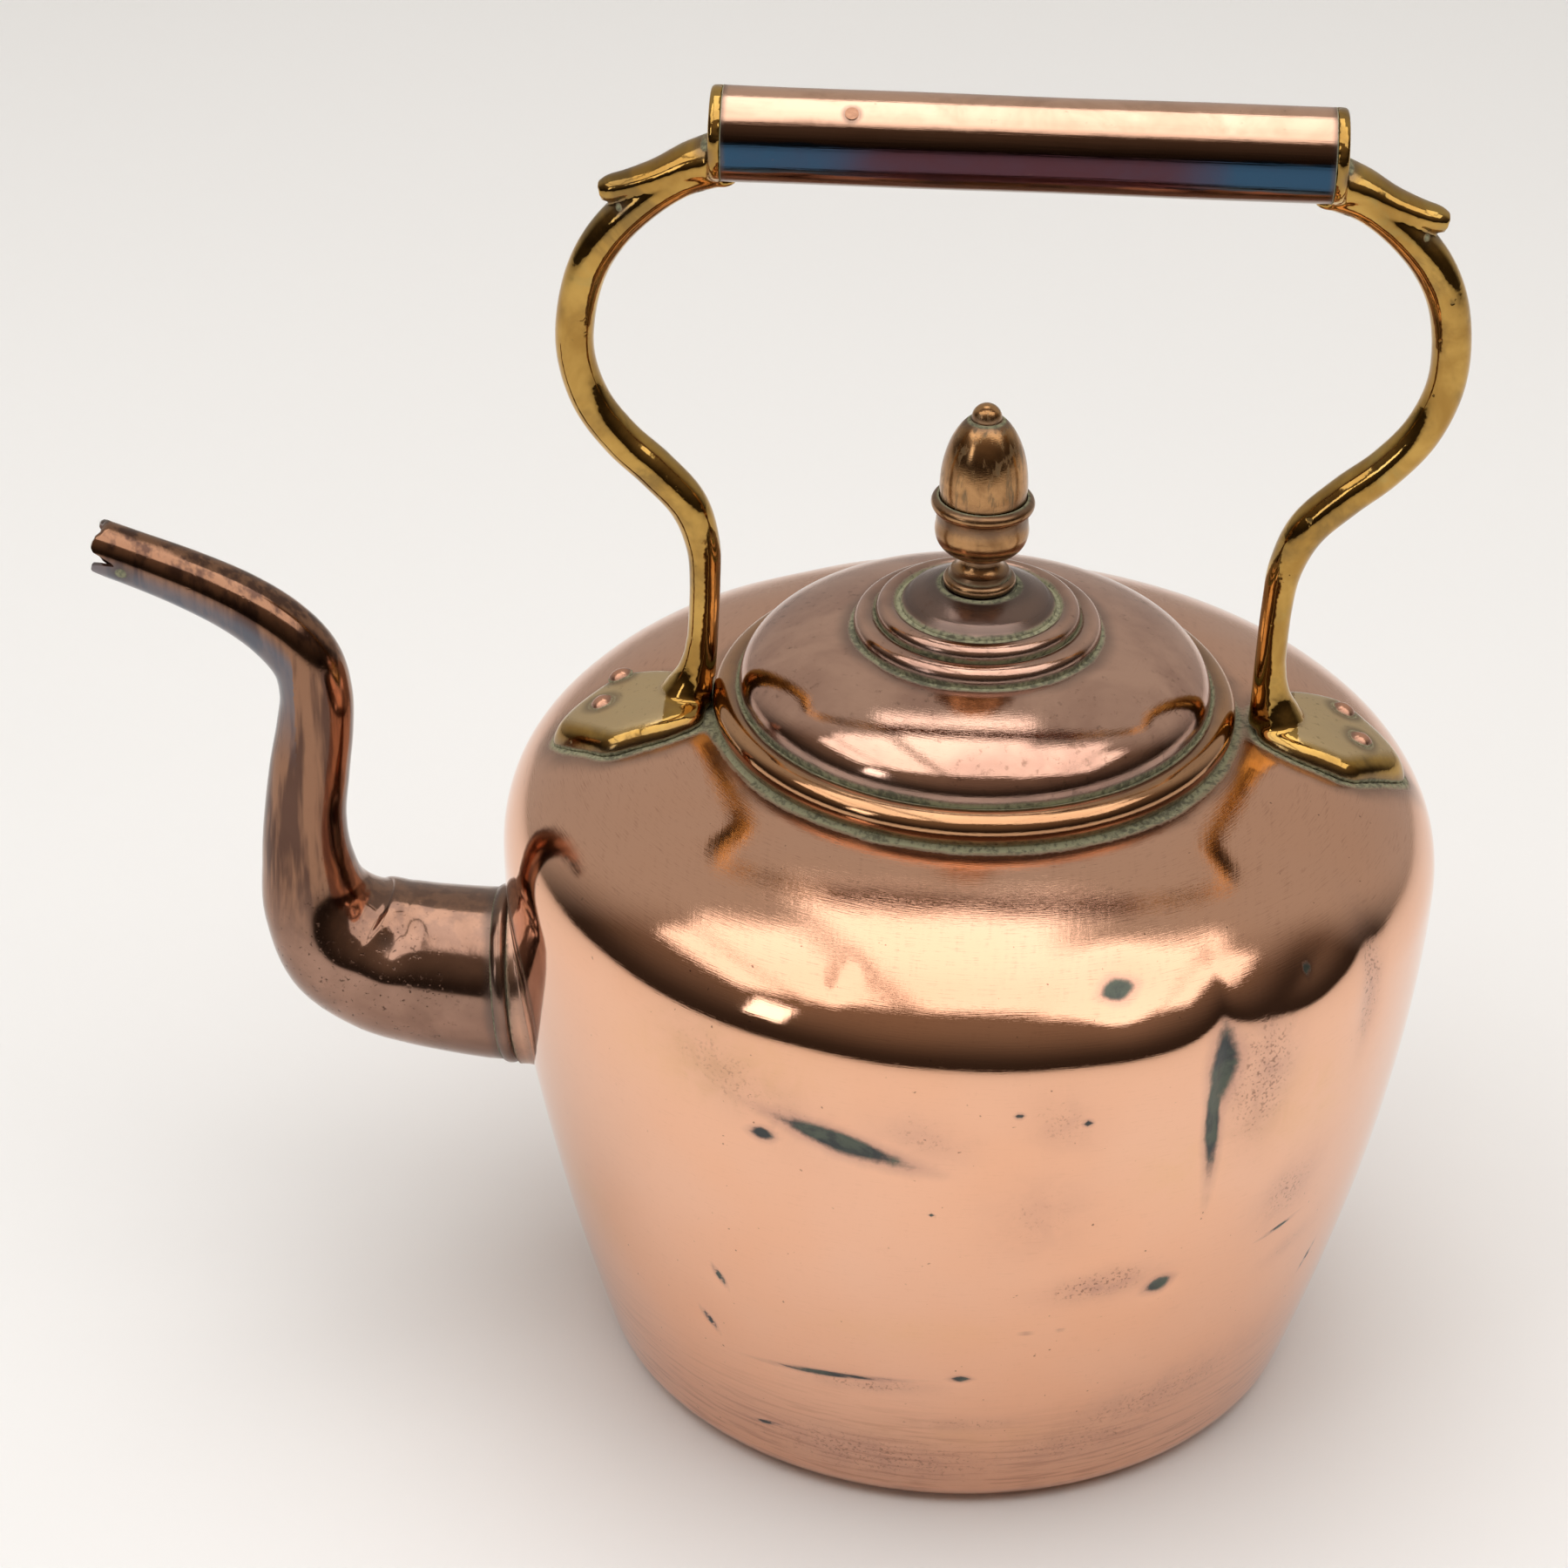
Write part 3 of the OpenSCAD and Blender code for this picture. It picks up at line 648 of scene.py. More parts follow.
def body_crevices(p):
    """Distance to the crevices on the body: the ring, the outlines of the feet, the spout. Where
    two are near, -log(exp(-first) + exp(-second)) brings the result closer than either."""
    r = np.hypot(p[:, 0], p[:, 1])
    high = p[:, 2] > 138
    gap = np.where(high, np.maximum(r - RING_HIGH[0] - 0.1, 0), 60.0)
    for side in (-1, 1):
        near = np.where(high & (p[:, 0] * side > 40))[0]
        outline = far_from_outline(p[near], foot_plan_at(side))
        gap[near] = -1.5 * np.logaddexp(-gap[near] / 1.5, -outline / 1.5)
    root = np.where(p[:, 0] < -60, np.abs(from_root_axis(p) - 23.6) * 1.4, 60.0)
    return np.minimum(gap, root)


# Dents: azimuth, height, half length, half width, turn from level, depth, sharpness across.
DENTS = [
    (-104, 113.5, 15, 4.5, -10, 0.9, 2), (-113, 111, 3.5, 2.6, 0, 0.35, 2),
    (-57.2, 124, 17, 5.2, 87, 2.9, 1.25), (-62.8, 70, 3.6, 2.6, 20, 0.45, 2),
    (-106, 42, 14, 2.0, 6, 0.3, 2), (-88, 45.8, 3, 1.6, 0, 0.3, 2),
    (-70.4, 147.3, 7, 6, 0, 1.0, 2), (-44.5, 141, 10, 7, 20, 1.2, 1.6),
    (-105.6, 147.8, 3.4, 2.6, 70, 0.35, 2), (-33, 130, 12, 5, 80, 0.6, 2),
    (-121, 62, 3.2, 1.6, -60, 0.3, 2), (-124.3, 46.5, 3.5, 1.6, -55, 0.3, 2),
    (95, 96, 14, 10, 30, 1.1, 2), (140, 60, 10, 6, -25, 0.8, 2), (52, 118, 12, 5, 70, 0.9, 1.5),
    (20, 80, 8, 6, 10, 0.6, 2), (118, 148, 9, 7, 0, 0.7, 2),
]
# Dark marks: azimuth, height, half length, half width, turn from level.
MARKS = [
    (-103.6, 113.4, 13.5, 2.5, -13), (-113.2, 111, 2.6, 1.5, 0), (-57.6, 128, 9, 3.4, 88),
    (-58.6, 114, 13, 1.9, 92), (-62.8, 70, 2.7, 1.8, 20), (-106, 42, 12.5, 0.75, 7),
    (-88, 45.8, 2.0, 0.85, 3), (-121.2, 63.2, 2.4, 0.8, -62), (-124.3, 46.5, 2.6, 0.85, -55),
    (-70.4, 147.3, 3.4, 2.0, 10), (-92.5, 97, 0.9, 0.4, -30), (-83, 124.5, 0.9, 0.7, 0),
    (-75, 121.5, 1.0, 0.8, 0), (-80, 60.9, 1.7, 0.4, 0), (-75.5, 61, 1.1, 0.4, 0),
    (-43.8, 72.8, 4.5, 0.5, 8), (-43.6, 141.5, 1.6, 1.1, 80), (-117.6, 17.3, 3.2, 0.6, 14),
    (-32.4, 52.2, 3.6, 0.6, 60), (96, 97, 8, 1.6, 30), (139, 60, 6, 1.4, -25), (52, 117, 9, 1.4, 72),
    (20, 80, 2.4, 1.5, 10), (165, 100, 1.6, 1.0, 0), (70, 40, 7, 0.7, 5), (112, 30, 1.8, 0.8, 0),
]
NO_TARNISH = -3.0    # level of a place far from every dark mark
# Smears, partly real and partly painted shade and reflection beside dents such as the crease at -57
# degrees: azimuth, height, half length, half width, turn from level, strength.
SMEARS_AND_SHADE = [
    (-71, 74, 11, 4, 6, 0.9), (-44, 84, 10, 8, 40, 0.6), (-52, 122, 17, 8, 85, 0.8),
    (-78, 122, 9, 7, -30, 0.45), (-94, 118, 11, 6, -15, 0.4), (-33, 130, 14, 4, 82, 0.9),
    (-80, 97, 12, 12, 70, 0.35), (-101, 41, 14, 2.2, 6, 0.7), (-58, 30, 30, 9, 8, 0.5),
    (-100, 16, 34, 9, 0, 0.6), (-118, 124, 16, 8, -25, 0.5), (-40, 64, 8, 3, 10, 0.4),
    (-110, 118, 12, 8, -40, 0.35), (40, 70, 20, 14, 20, 0.5), (100, 110, 22, 12, 0, 0.5),
    (150, 120, 18, 14, 30, 0.45), (75, 35, 26, 9, 0, 0.5), (130, 22, 24, 8, 5, 0.5),
    (-70, 20, 26, 7, 4, 0.5), (-86, 30, 18, 3, 3, 0.45),
]
# Golden patches: azimuth, height, half length, half width, turn from level, strength.
GOLDEN = [
    (-120, 125, 22, 9, 8, 0.9), (-62, 104, 10, 14, 60, 0.5), (-96, 60, 22, 5, 4, 0.4),
    (-45, 110, 12, 18, 80, 0.6), (30, 120, 26, 10, 0, 0.7), (120, 80, 24, 12, 30, 0.6),
    (-150, 60, 20, 10, 0, 0.5), (-85, 24, 24, 6, 0, 0.5),
]


def off_centre(p, azimuth, height, turn):
    """Place of each point on the sheet, in millimetres along and across a mark with that turn. The
    way round is measured along the sheet's circle, the way up along its profile."""
    r = np.hypot(p[:, 0], p[:, 1])
    round_way = np.arctan2(p[:, 1], p[:, 0]) - math.radians(azimuth)
    round_way = (round_way + math.pi) % (2 * math.pi) - math.pi
    across_profile = np.where(p[:, 2] < WAIST_Z, p[:, 2], WAIST_Z + np.hypot(
        p[:, 2] - WAIST_Z, BODY_R - r))
    if height <= WAIST_Z:
        level = height
    else:
        share = ((height - WAIST_Z) / CROWN_H) ** CROWN_POWER
        at_r = CROWN_IN + (BODY_R - CROWN_IN) * (1 - share) ** (1 / CROWN_POWER)
        level = WAIST_Z + math.hypot(height - WAIST_Z, BODY_R - at_r)
    u = round_way * r
    v = across_profile - level
    c, s = math.cos(math.radians(turn)), math.sin(math.radians(turn))
    return u * c + v * s, -u * s + v * c


def dent_depth(p):
    """How far the sheet is pushed in: soft hollows exp(-(u/length)^2 - (v/width)^sharpness), and
    long low waves left by the hammer."""
    depth = np.zeros(len(p))
    for azimuth, height, length, width, turn, deep, sharp in DENTS:
        u, v = off_centre(p, azimuth, height, turn)
        depth += deep * np.exp(-(u / length) ** 2 - np.abs(v / width) ** sharp)
    a = np.arctan2(p[:, 1], p[:, 0])
    h = p[:, 2] - 0.9 * np.hypot(p[:, 0], p[:, 1])
    waves = np.sin(5 * a + h / 19 + 1) * np.sin(h / 23 + 2) + 0.7 * np.sin(9 * a - h / 14)
    waves += 0.55 * np.sin(13 * a + h / 11 + 0.6) * np.cos(h / 9) + 0.3 * np.sin(23 * a - h / 6)
    fade = np.clip((p[:, 2] - SEAM_Z - 4) / 22, 0, 1) * np.clip((np.hypot(
        p[:, 0], p[:, 1]) - SEAT_R) / 14, 0, 1)
    return depth + 0.055 * waves * fade


def tarnish_level(p):
    """1 at the middle of a dark mark, 0 at its edge, falling on outside: 1 minus the distance
    measured in half lengths and half widths. The marks are drawn out to points."""
    level = np.full(len(p), NO_TARNISH)
    for azimuth, height, length, width, turn in MARKS:
        u, v = off_centre(p, azimuth, height, turn)
        u, v = u / length, v / width
        level = np.maximum(level, 1 - (np.abs(u) ** 1.5 + np.abs(v) ** 1.5) ** (1 / 1.5))
    return level


def soft_patches(places):
    """Strength of soft patches: the strongest of exp(-(u/length)^2 - (v/width)^2)."""
    def strength_at(p):
        strength = np.zeros(len(p))
        for azimuth, height, length, width, turn, dark in places:
            u, v = off_centre(p, azimuth, height, turn)
            strength = np.maximum(strength, dark * np.exp(-(u / length) ** 2 - (v / width) ** 2))
        return strength
    return strength_at


def body_profile():
    """The body's outside from the seam up the side, over the crown and in to the mouth."""
    z = np.linspace(SEAM_Z, WAIST_Z, 400)
    side = np.stack([side_r(z), z], -1)
    end = math.acos(((SEAT_R - CROWN_IN) / (BODY_R - CROWN_IN)) ** (CROWN_POWER / 2))
    t = np.linspace(0, end, 300)[1:]
    crown = np.stack([CROWN_IN + (BODY_R - CROWN_IN) * np.cos(t) ** (2 / CROWN_POWER),
                      WAIST_Z + CROWN_H * np.sin(t) ** (2 / CROWN_POWER)], -1)
    return evenly(np.concatenate([side, crown]), spacing=1.06)


def body_shell_piece(copper, tin):
    """The raised sheet: the outside profile and the same profile one wall inside, carried round
    together as one closed loop and pushed in by the dents."""
    outside = body_profile()
    inside = beside(outside, -WALL)[::-7]
    seat = np.array([[55.0, SEAT_Z], [MOUTH_R, SEAT_Z], [MOUTH_R, SEAT_Z - WALL]])
    profile = np.concatenate([outside, seat, inside])
    points, angle = revolve(profile, 364, 0.48)
    flat = points.reshape(-1, 3)
    push = dent_depth(flat).reshape(points.shape[:2])
    normal = beside(profile, 1) - profile
    push[len(outside) - 3:len(outside) + 4] = 0
    lean = np.concatenate([normal[:len(outside)], np.zeros((3, 2)),
                           -normal[len(outside) + 3:]])
    points[..., 0] -= push * lean[:, :1] * np.cos(angle)
    points[..., 1] -= push * lean[:, :1] * np.sin(angle)
    points[..., 2] -= push * lean[:, 1:]
    mesh = solid_mesh("body_shell", [(points, True)])
    marks = {"crevice": body_crevices, "tarnish": tarnish_level, "smear_and_shade": soft_patches(SMEARS_AND_SHADE),
             "golden": soft_patches(GOLDEN)}
    obj = piece("body_shell_look", mesh, "kettle", ["body_shell"],
                [copper, tin], marks, 50)
    row = np.arange(len(mesh.polygons)) // points.shape[1]
    mesh.polygons.foreach_set("material_index", (row > len(outside)).astype(np.int32))
    return obj


def base_pan_piece(copper):
    """The bottom pan: flat, turned up round a corner, with a lap inside the side."""
    corner, draft = 8.5, math.radians(17)
    top = corner * (1 - math.sin(draft))
    inner = side_r(top) - corner * math.cos(draft)
    flank = np.linspace(top, SEAM_Z, 5)[1:]
    heights = np.array([SEAM_Z, 12.0, 16.5])
    lap = np.stack([side_r(heights) - WALL - 0.1, heights], -1)
    profile = np.concatenate([
        np.stack([np.linspace(0, inner, 12), np.zeros(12)], -1)[:-1],
        arc((inner, corner), corner, -90, -17, 22), np.stack([side_r(flank), flank], -1), lap,
        (lap - [WALL, 0])[::-1], arc((inner, corner), corner - WALL, -17, -90, 12), [[0, WALL]]])
    points = revolve(profile, 200)[0]
    mesh = solid_mesh("base_pan", [(points, False)])
    marks = {"crevice": lambda p: np.abs(p[:, 2] - SEAM_Z) * 6 + 5,
             "tarnish": everywhere(NO_TARNISH), "smear_and_shade": soft_patches(SMEARS_AND_SHADE),
             "golden": soft_patches(GOLDEN)}
    return piece("base_pan_look", mesh, "kettle", ["base_pan"], [copper], marks)


def mouth_ring_piece(copper):
    """Round bead that stands round the mouth: an arc of a circle whose outer foot is filled with
    old polish down to the seat, and a narrow flat underside."""
    sunk = 0.2
    bead = (RING_HIGH[2] - RING_LOW[2] + sunk) / 2
    centre = (RING_HIGH[0] - bead, RING_LOW[2] + bead - sunk)
    low = math.degrees(math.asin((bead - sunk) / bead))
    fillet = arc((centre[0] + bead + 0.2, RING_LOW[2] + 1.5), 1.5, 270, 214, 8)
    profile = np.concatenate([fillet, arc(centre, bead, -26, 180 + low, 60)])
    grooves = [(centre[0] + bead, RING_LOW[2], 1.0), (LID_R, RIM_Z - 0.2, 0.3)]
    return turned("mouth_ring", profile, "kettle", copper, grooves, 220)


# ---------------------------------------------------------------- spout
SPOUT_SIDES = 112
SPOUT_T = 1.2
SPOUT_KNOTS = [
    (-106.6, 84.65, 20.0), (-115, 85.3, 19.6), (-125, 86.5, 19), (-134, 88.6, 18.3),
    (-143, 93.6, 16.6), (-149, 103, 13), (-151, 114, 10.7), (-151, 126, 9.4), (-149.6, 138, 9.1),
    (-148, 149, 8.7), (-147.4, 158, 8.2), (-149.3, 166.5, 7.9), (-155.3, 174, 7.5),
    (-164, 180.3, 7), (-175, 185.7, 6.5), (-187, 190.4, 6.1), (-195.5, 193.4, 6.1)]
JAW_NOTCH = (-187.3, 190.3)


def beyond_jaws(x, z):
    """True past the cut that opens the beak. A wedge runs back from the tip to the notch, and each
    jaw ends in its own rounded nose, a parabola across the jaw."""
    run = JAW_NOTCH[0] - x
    upper_edge = JAW_NOTCH[1] + 0.50 * run
    lower_edge = JAW_NOTCH[1] + 0.20 * run
    wedge = (run > 0) & (z > lower_edge) & (z < upper_edge)
    upper_round = np.minimum(((z - 195.4) / 3.3) ** 2, 1.6)
    lower_round = np.minimum(((z - 189.8) / 2.4) ** 2, 1.5)
    upper_nose = (z >= upper_edge) & (x < -194.6 + 4.2 * upper_round)
    lower_nose = (z <= lower_edge) & (x < -195.05 + 2.6 * lower_round)
    return wedge | upper_nose | lower_nose


def spout_grid(line, shrink):
    """Circles carried along the spout's line: centre + r (cos a, sin a) across the direction of
    travel, with a = 0 underneath and shrink taken off r."""
    a = np.linspace(0, 2 * math.pi, SPOUT_SIDES, endpoint=False)
    d = directions(line)
    d[0] = ROOT_AXIS[[0, 2]]
    d = d / np.linalg.norm(d, axis=1, keepdims=True)
    r = (line[:, 2] - shrink)[:, None]
    x = line[:, 0][:, None] - r * np.cos(a) * d[:, 1][:, None]
    y = r * np.sin(a)
    z = line[:, 1][:, None] + r * np.cos(a) * d[:, 0][:, None]
    return np.stack([x, y, z], -1)


def dimples(points, line):
    """Pushes the sheet in at the creased inner elbow and in shallow hollows further up."""
    centre = np.stack([line[:, 0], np.zeros(len(line)), line[:, 1]], -1)[:, None, :]
    out = points - centre
    out = out / np.linalg.norm(out, axis=-1, keepdims=True)
    push = np.zeros(points.shape[:2])
    for x, y, z, size, deep in [(-131.5, -13, 99, 4.5, 1.3), (-127, -10, 102.5, 3.2, 0.8),
                                (-137, -9.5, 103.5, 3.0, 0.7), (-153, -8, 150, 7, 0.35),
                                (-158, -5, 112, 8, 0.35), (-150, 9, 120, 8, 0.4)]:
        gap = np.linalg.norm(points - [x, y, z], axis=-1)
        push += deep * np.exp(-(gap / size) ** 2)
    return points - out * push[..., None]


def cut_at_jaws(points):
    """Slides each angle's last stretch back so that it ends on the cut: past the start row, the
    row taken is start + share (end - start), mixed from the two nearest rows."""
    rows = points.shape[0]
    past = beyond_jaws(points[..., 0], points[..., 2])
    past[:int(rows * 0.7)] = False
    end = np.where(past.any(0), past.argmax(0), rows - 1).astype(float)
    end = np.stack([np.roll(end, k) for k in range(-2, 3)]).mean(0)
    start = int(rows * 0.8)
    row = np.arange(rows)[:, None]
    share = np.clip((row - start) / (rows - 1 - start), 0, 1)
    take = np.where(row < start, row, start + share * (end[None] - start))
    low = np.floor(take).astype(int)
    high = np.minimum(low + 1, rows - 1)
    t = (take - low)[..., None]
    column = np.arange(points.shape[1])[None]
    return points[low, column] * (1 - t) + points[high, column] * t


def spout_piece(copper):
    """The spout's outside and inside as one closed surface, joined round the rim of the beak."""
    line = spline(SPOUT_KNOTS, 230)
    outer = cut_at_jaws(dimples(spout_grid(line, 0), line))
    inner = cut_at_jaws(dimples(spout_grid(line, SPOUT_T), line))
    rim = (outer[-1] + inner[-1]) / 2 + (outer[-1] - outer[-4]) / 12
    points = np.concatenate([outer, rim[None], inner[::-3], inner[:1]])
    mesh = solid_mesh("spout_tube", [(points, True)])

    def under(p):
        heights = np.interp(-p[:, 0], -line[:, 0], line[:, 1])
        return np.clip((heights - p[:, 2]) / 7 + 0.5, 0, 1) * (p[:, 2] > 140)

    def crevices(p):
        spots = [(-131.5, -14, 101), (-188.5, -6, 189.4), (-188.5, 6, 189.4), (-194, 0, 186.6)]
        gap = np.min([np.linalg.norm(p - np.array(s), axis=1) - 0.8 for s in spots], axis=0)
        return np.minimum(gap, np.abs((p - ROOT) @ ROOT_AXIS - 4.2) + 0.7)

    return piece("spout_tube_look", mesh, "kettle", ["spout_tube"], [copper],
                 {"crevice": crevices, "under": under}, 60)


def spout_root_pieces(copper, dark):
    """The flared neck on the body, which follows the side, and the collar where the tube meets
    it. The neck's radius grows as 21.2 + 4.4 t^2.2 towards the body."""
    bore = 18.8
    t = np.linspace(0, 1, 26)
    flare = np.stack([21.2 + 4.4 * t ** 2.2, -9.5 * t], -1)
    ends = np.concatenate([flare, [[bore, -9.5]], [[bore, 0]]])
    points = at_root(revolve(ends, 160)[0])
    r = np.hypot(points[..., 0], points[..., 1])
    reach = side_by_spout(points[..., 2]) + 0.02
    scale = np.where(r < reach, reach / r, 1.0)
    points[..., 0] *= scale
    points[..., 1] *= scale
    mesh = solid_mesh("spout_flange", [(points, True)])

    def crevices(p):
        from_body = np.hypot(p[:, 0], p[:, 1]) - side_by_spout(p[:, 2]) + 1.7
        return np.minimum(from_body, np.abs((p - ROOT) @ ROOT_AXIS) + 1.2)

    piece("spout_flange_look", mesh, "kettle", ["spout_flange"], [copper],
          {"crevice": crevices, "tarnish": everywhere(NO_TARNISH), "smear_and_shade": everywhere(0.35),
           "golden": everywhere(0)}, 60)
    bulge = arc((20.9 - 2.67, 2.0), 2.67, -48.5, 48.5, 16)
    collar = np.concatenate([[[bore, 0]], bulge, [[bore, 4.0]]])
    points = at_root(revolve(collar, 160)[0])
    mesh = solid_mesh("spout_collar", [(points, True)])
    piece("spout_collar_look", mesh, "kettle", ["spout_collar"], [dark],
          {"crevice": lambda p: 2.0 - np.abs((p - ROOT) @ ROOT_AXIS - 2.0) + 0.3,
           "under": everywhere(0)}, 60)


# ---------------------------------------------------------------- handle
TOP_SHIFT = (GRIP_LOW[0] + GRIP_HIGH[0]) / 2
HALF_GRIP = (GRIP_HIGH[0] - GRIP_LOW[0]) / 2 + 2.55
ARM_KNOTS = [
    (64.5, 161.5, 5.4), (63.3, 168, 4.0), (62.7, 176, 3.45), (62.7, 190, 3.4), (63.6, 200, 3.8),
    (67.2, 209.5, 4.3), (74.4, 217.5, 4.4), (82, 224.5, 4.3), (88.5, 233, 4.2), (92.2, 243, 4.1),
    (92.7, 253, 4.2), (90.6, 264, 4.3), (86, 273, 4.4), (79, 280.5, 4.3), (71.5, 285.8, 4.2),
    (64.5, 288.6, 4.4)]
HORN_KNOTS = [
    (64, 290.6, 5.4, 6.2), (69.5, 289.2, 4.4, 5.6), (76, 286.4, 3.3, 4.8), (82, 284.1, 2.9, 4.1),
    (86, 282.8, 2.8, 3.5), (88.2, 282.1, 2.0, 2.4)]
RIVET_LEAN = math.radians(20)


def skew(z):
    """How far the handle leans to the back at height z."""
    return FOOT_SHIFT + (TOP_SHIFT - FOOT_SHIFT) * (z - 160) / (GRIP_Z - 160)


def swept_oval(line, sides=40):
    """An oval section carried along a line in the X-Z plane: centre + t cos a across the travel
    + w sin a along Y, closed with a point at each end. The line holds x, z, t and w."""
    a = np.linspace(0, 2 * math.pi, sides, endpoint=False)
    d = directions(line)
    x = line[:, 0][:, None] - line[:, 2][:, None] * np.cos(a) * d[:, 1][:, None]
    y = line[:, 3][:, None] * np.sin(a)
    z = line[:, 1][:, None] + line[:, 2][:, None] * np.cos(a) * d[:, 0][:, None]
    tube = np.stack([x, y, z], -1)
    ends = tube[[0, -1]].mean(1, keepdims=True).repeat(sides, 1)
    return np.concatenate([ends[:1], tube, ends[1:]])


def crowned_foot(side):
    """The foot as a pillow on the shoulder: in plan centre + v (outline - centre), and as thick as
    FOOT_T sqrt(1 - v^7), rising from the shoulder's own height."""
    v = np.sin(np.linspace(0, math.pi / 2, 22))[:, None, None]
    centre = np.array([78.0 * side + FOOT_SHIFT, side * FOOT_ASIDE])
    plan = centre + v * (foot_plan_at(side)[None] - centre)
    r = np.linalg.norm(plan, axis=-1)
    base = shoulder_z(r)
    thick = FOOT_T * np.sqrt(np.clip(1 - v[..., 0] ** 7, 0, 1)) / shoulder_lean(r)
    top = np.concatenate([plan, (base + thick)[..., None]], -1)
    below = np.concatenate([plan, (base + 0.1)[..., None]], -1)
    return np.concatenate([top, below[::-1]])


def end_plate(side):
    """The disc that closes the grip: a turned plate with a rounded rim, and a short tang."""
    rim = GRIP_R - 1
    profile = np.concatenate([[[0, 0]], arc((rim, 1), 1, -90, 0, 8), [[GRIP_R, 2.5], [8.7, 2.5],
                              [8.7, 5.0], [0, 5.0]]])
    points = revolve(profile, 72)[0]
    x = -points[..., 2] * side + side * HALF_GRIP + TOP_SHIFT
    return np.stack([x, points[..., 1], GRIP_Z + points[..., 0]], -1)


def toe_lug(side):
    """A small rounded lip under the end of the grip: an ellipsoid."""
    a = np.linspace(-math.pi / 2, math.pi / 2, 16)[:, None]
    b = np.linspace(0, 2 * math.pi, 32, endpoint=False)[None]
    x = side * (HALF_GRIP - 2.4) + TOP_SHIFT + 3.4 * np.cos(a) * np.cos(b)
    y = 3.4 * np.cos(a) * np.sin(b)
    z = GRIP_Z - GRIP_R - 0.1 + 1.5 * np.sin(a) + 0 * b
    return np.stack([x, y, z], -1)


def remeshed(mesh, voxel):
    """The union of a mesh's closed parts as one even skin, by a voxel remesh."""
    obj = in_scene("casting", mesh)
    modifier = obj.modifiers.new("skin", "REMESH")
    modifier.mode = "VOXEL"
    modifier.voxel_size = voxel * MM
    shown = obj.evaluated_get(bpy.context.evaluated_depsgraph_get())
    made = bpy.data.meshes.new_from_object(shown)
    bpy.data.objects.remove(obj)
    return made


def relaxed(points, edges, share, passes):
    """Moves each point towards the mean of its neighbours by its share, that many times."""
    a, b = edges[:, 0], edges[:, 1]
    count = np.bincount(a, minlength=len(points)) + np.bincount(b, minlength=len(points))
    for _ in range(passes):
        mean = np.stack([
            np.bincount(a, points[b, k], len(points)) + np.bincount(b, points[a, k], len(points))
            for k in range(3)], -1) / count[:, None]
        points = points + share[:, None] * (mean - points)
    return points


def rivet_places(side):
    """Centre and outward direction of the two rivets of a foot."""
    places = []
    for k in (-1, 1):
        x = side * (81.5 - 1.6 * k) + FOOT_SHIFT
        y = 4.5 + 5.5 * k
        z = float(crown_z(np.hypot(x, y)))
        out = np.array([side * math.sin(RIVET_LEAN), 0, math.cos(RIVET_LEAN)])
        places.append((np.array([x, y, z]), out))
    return places


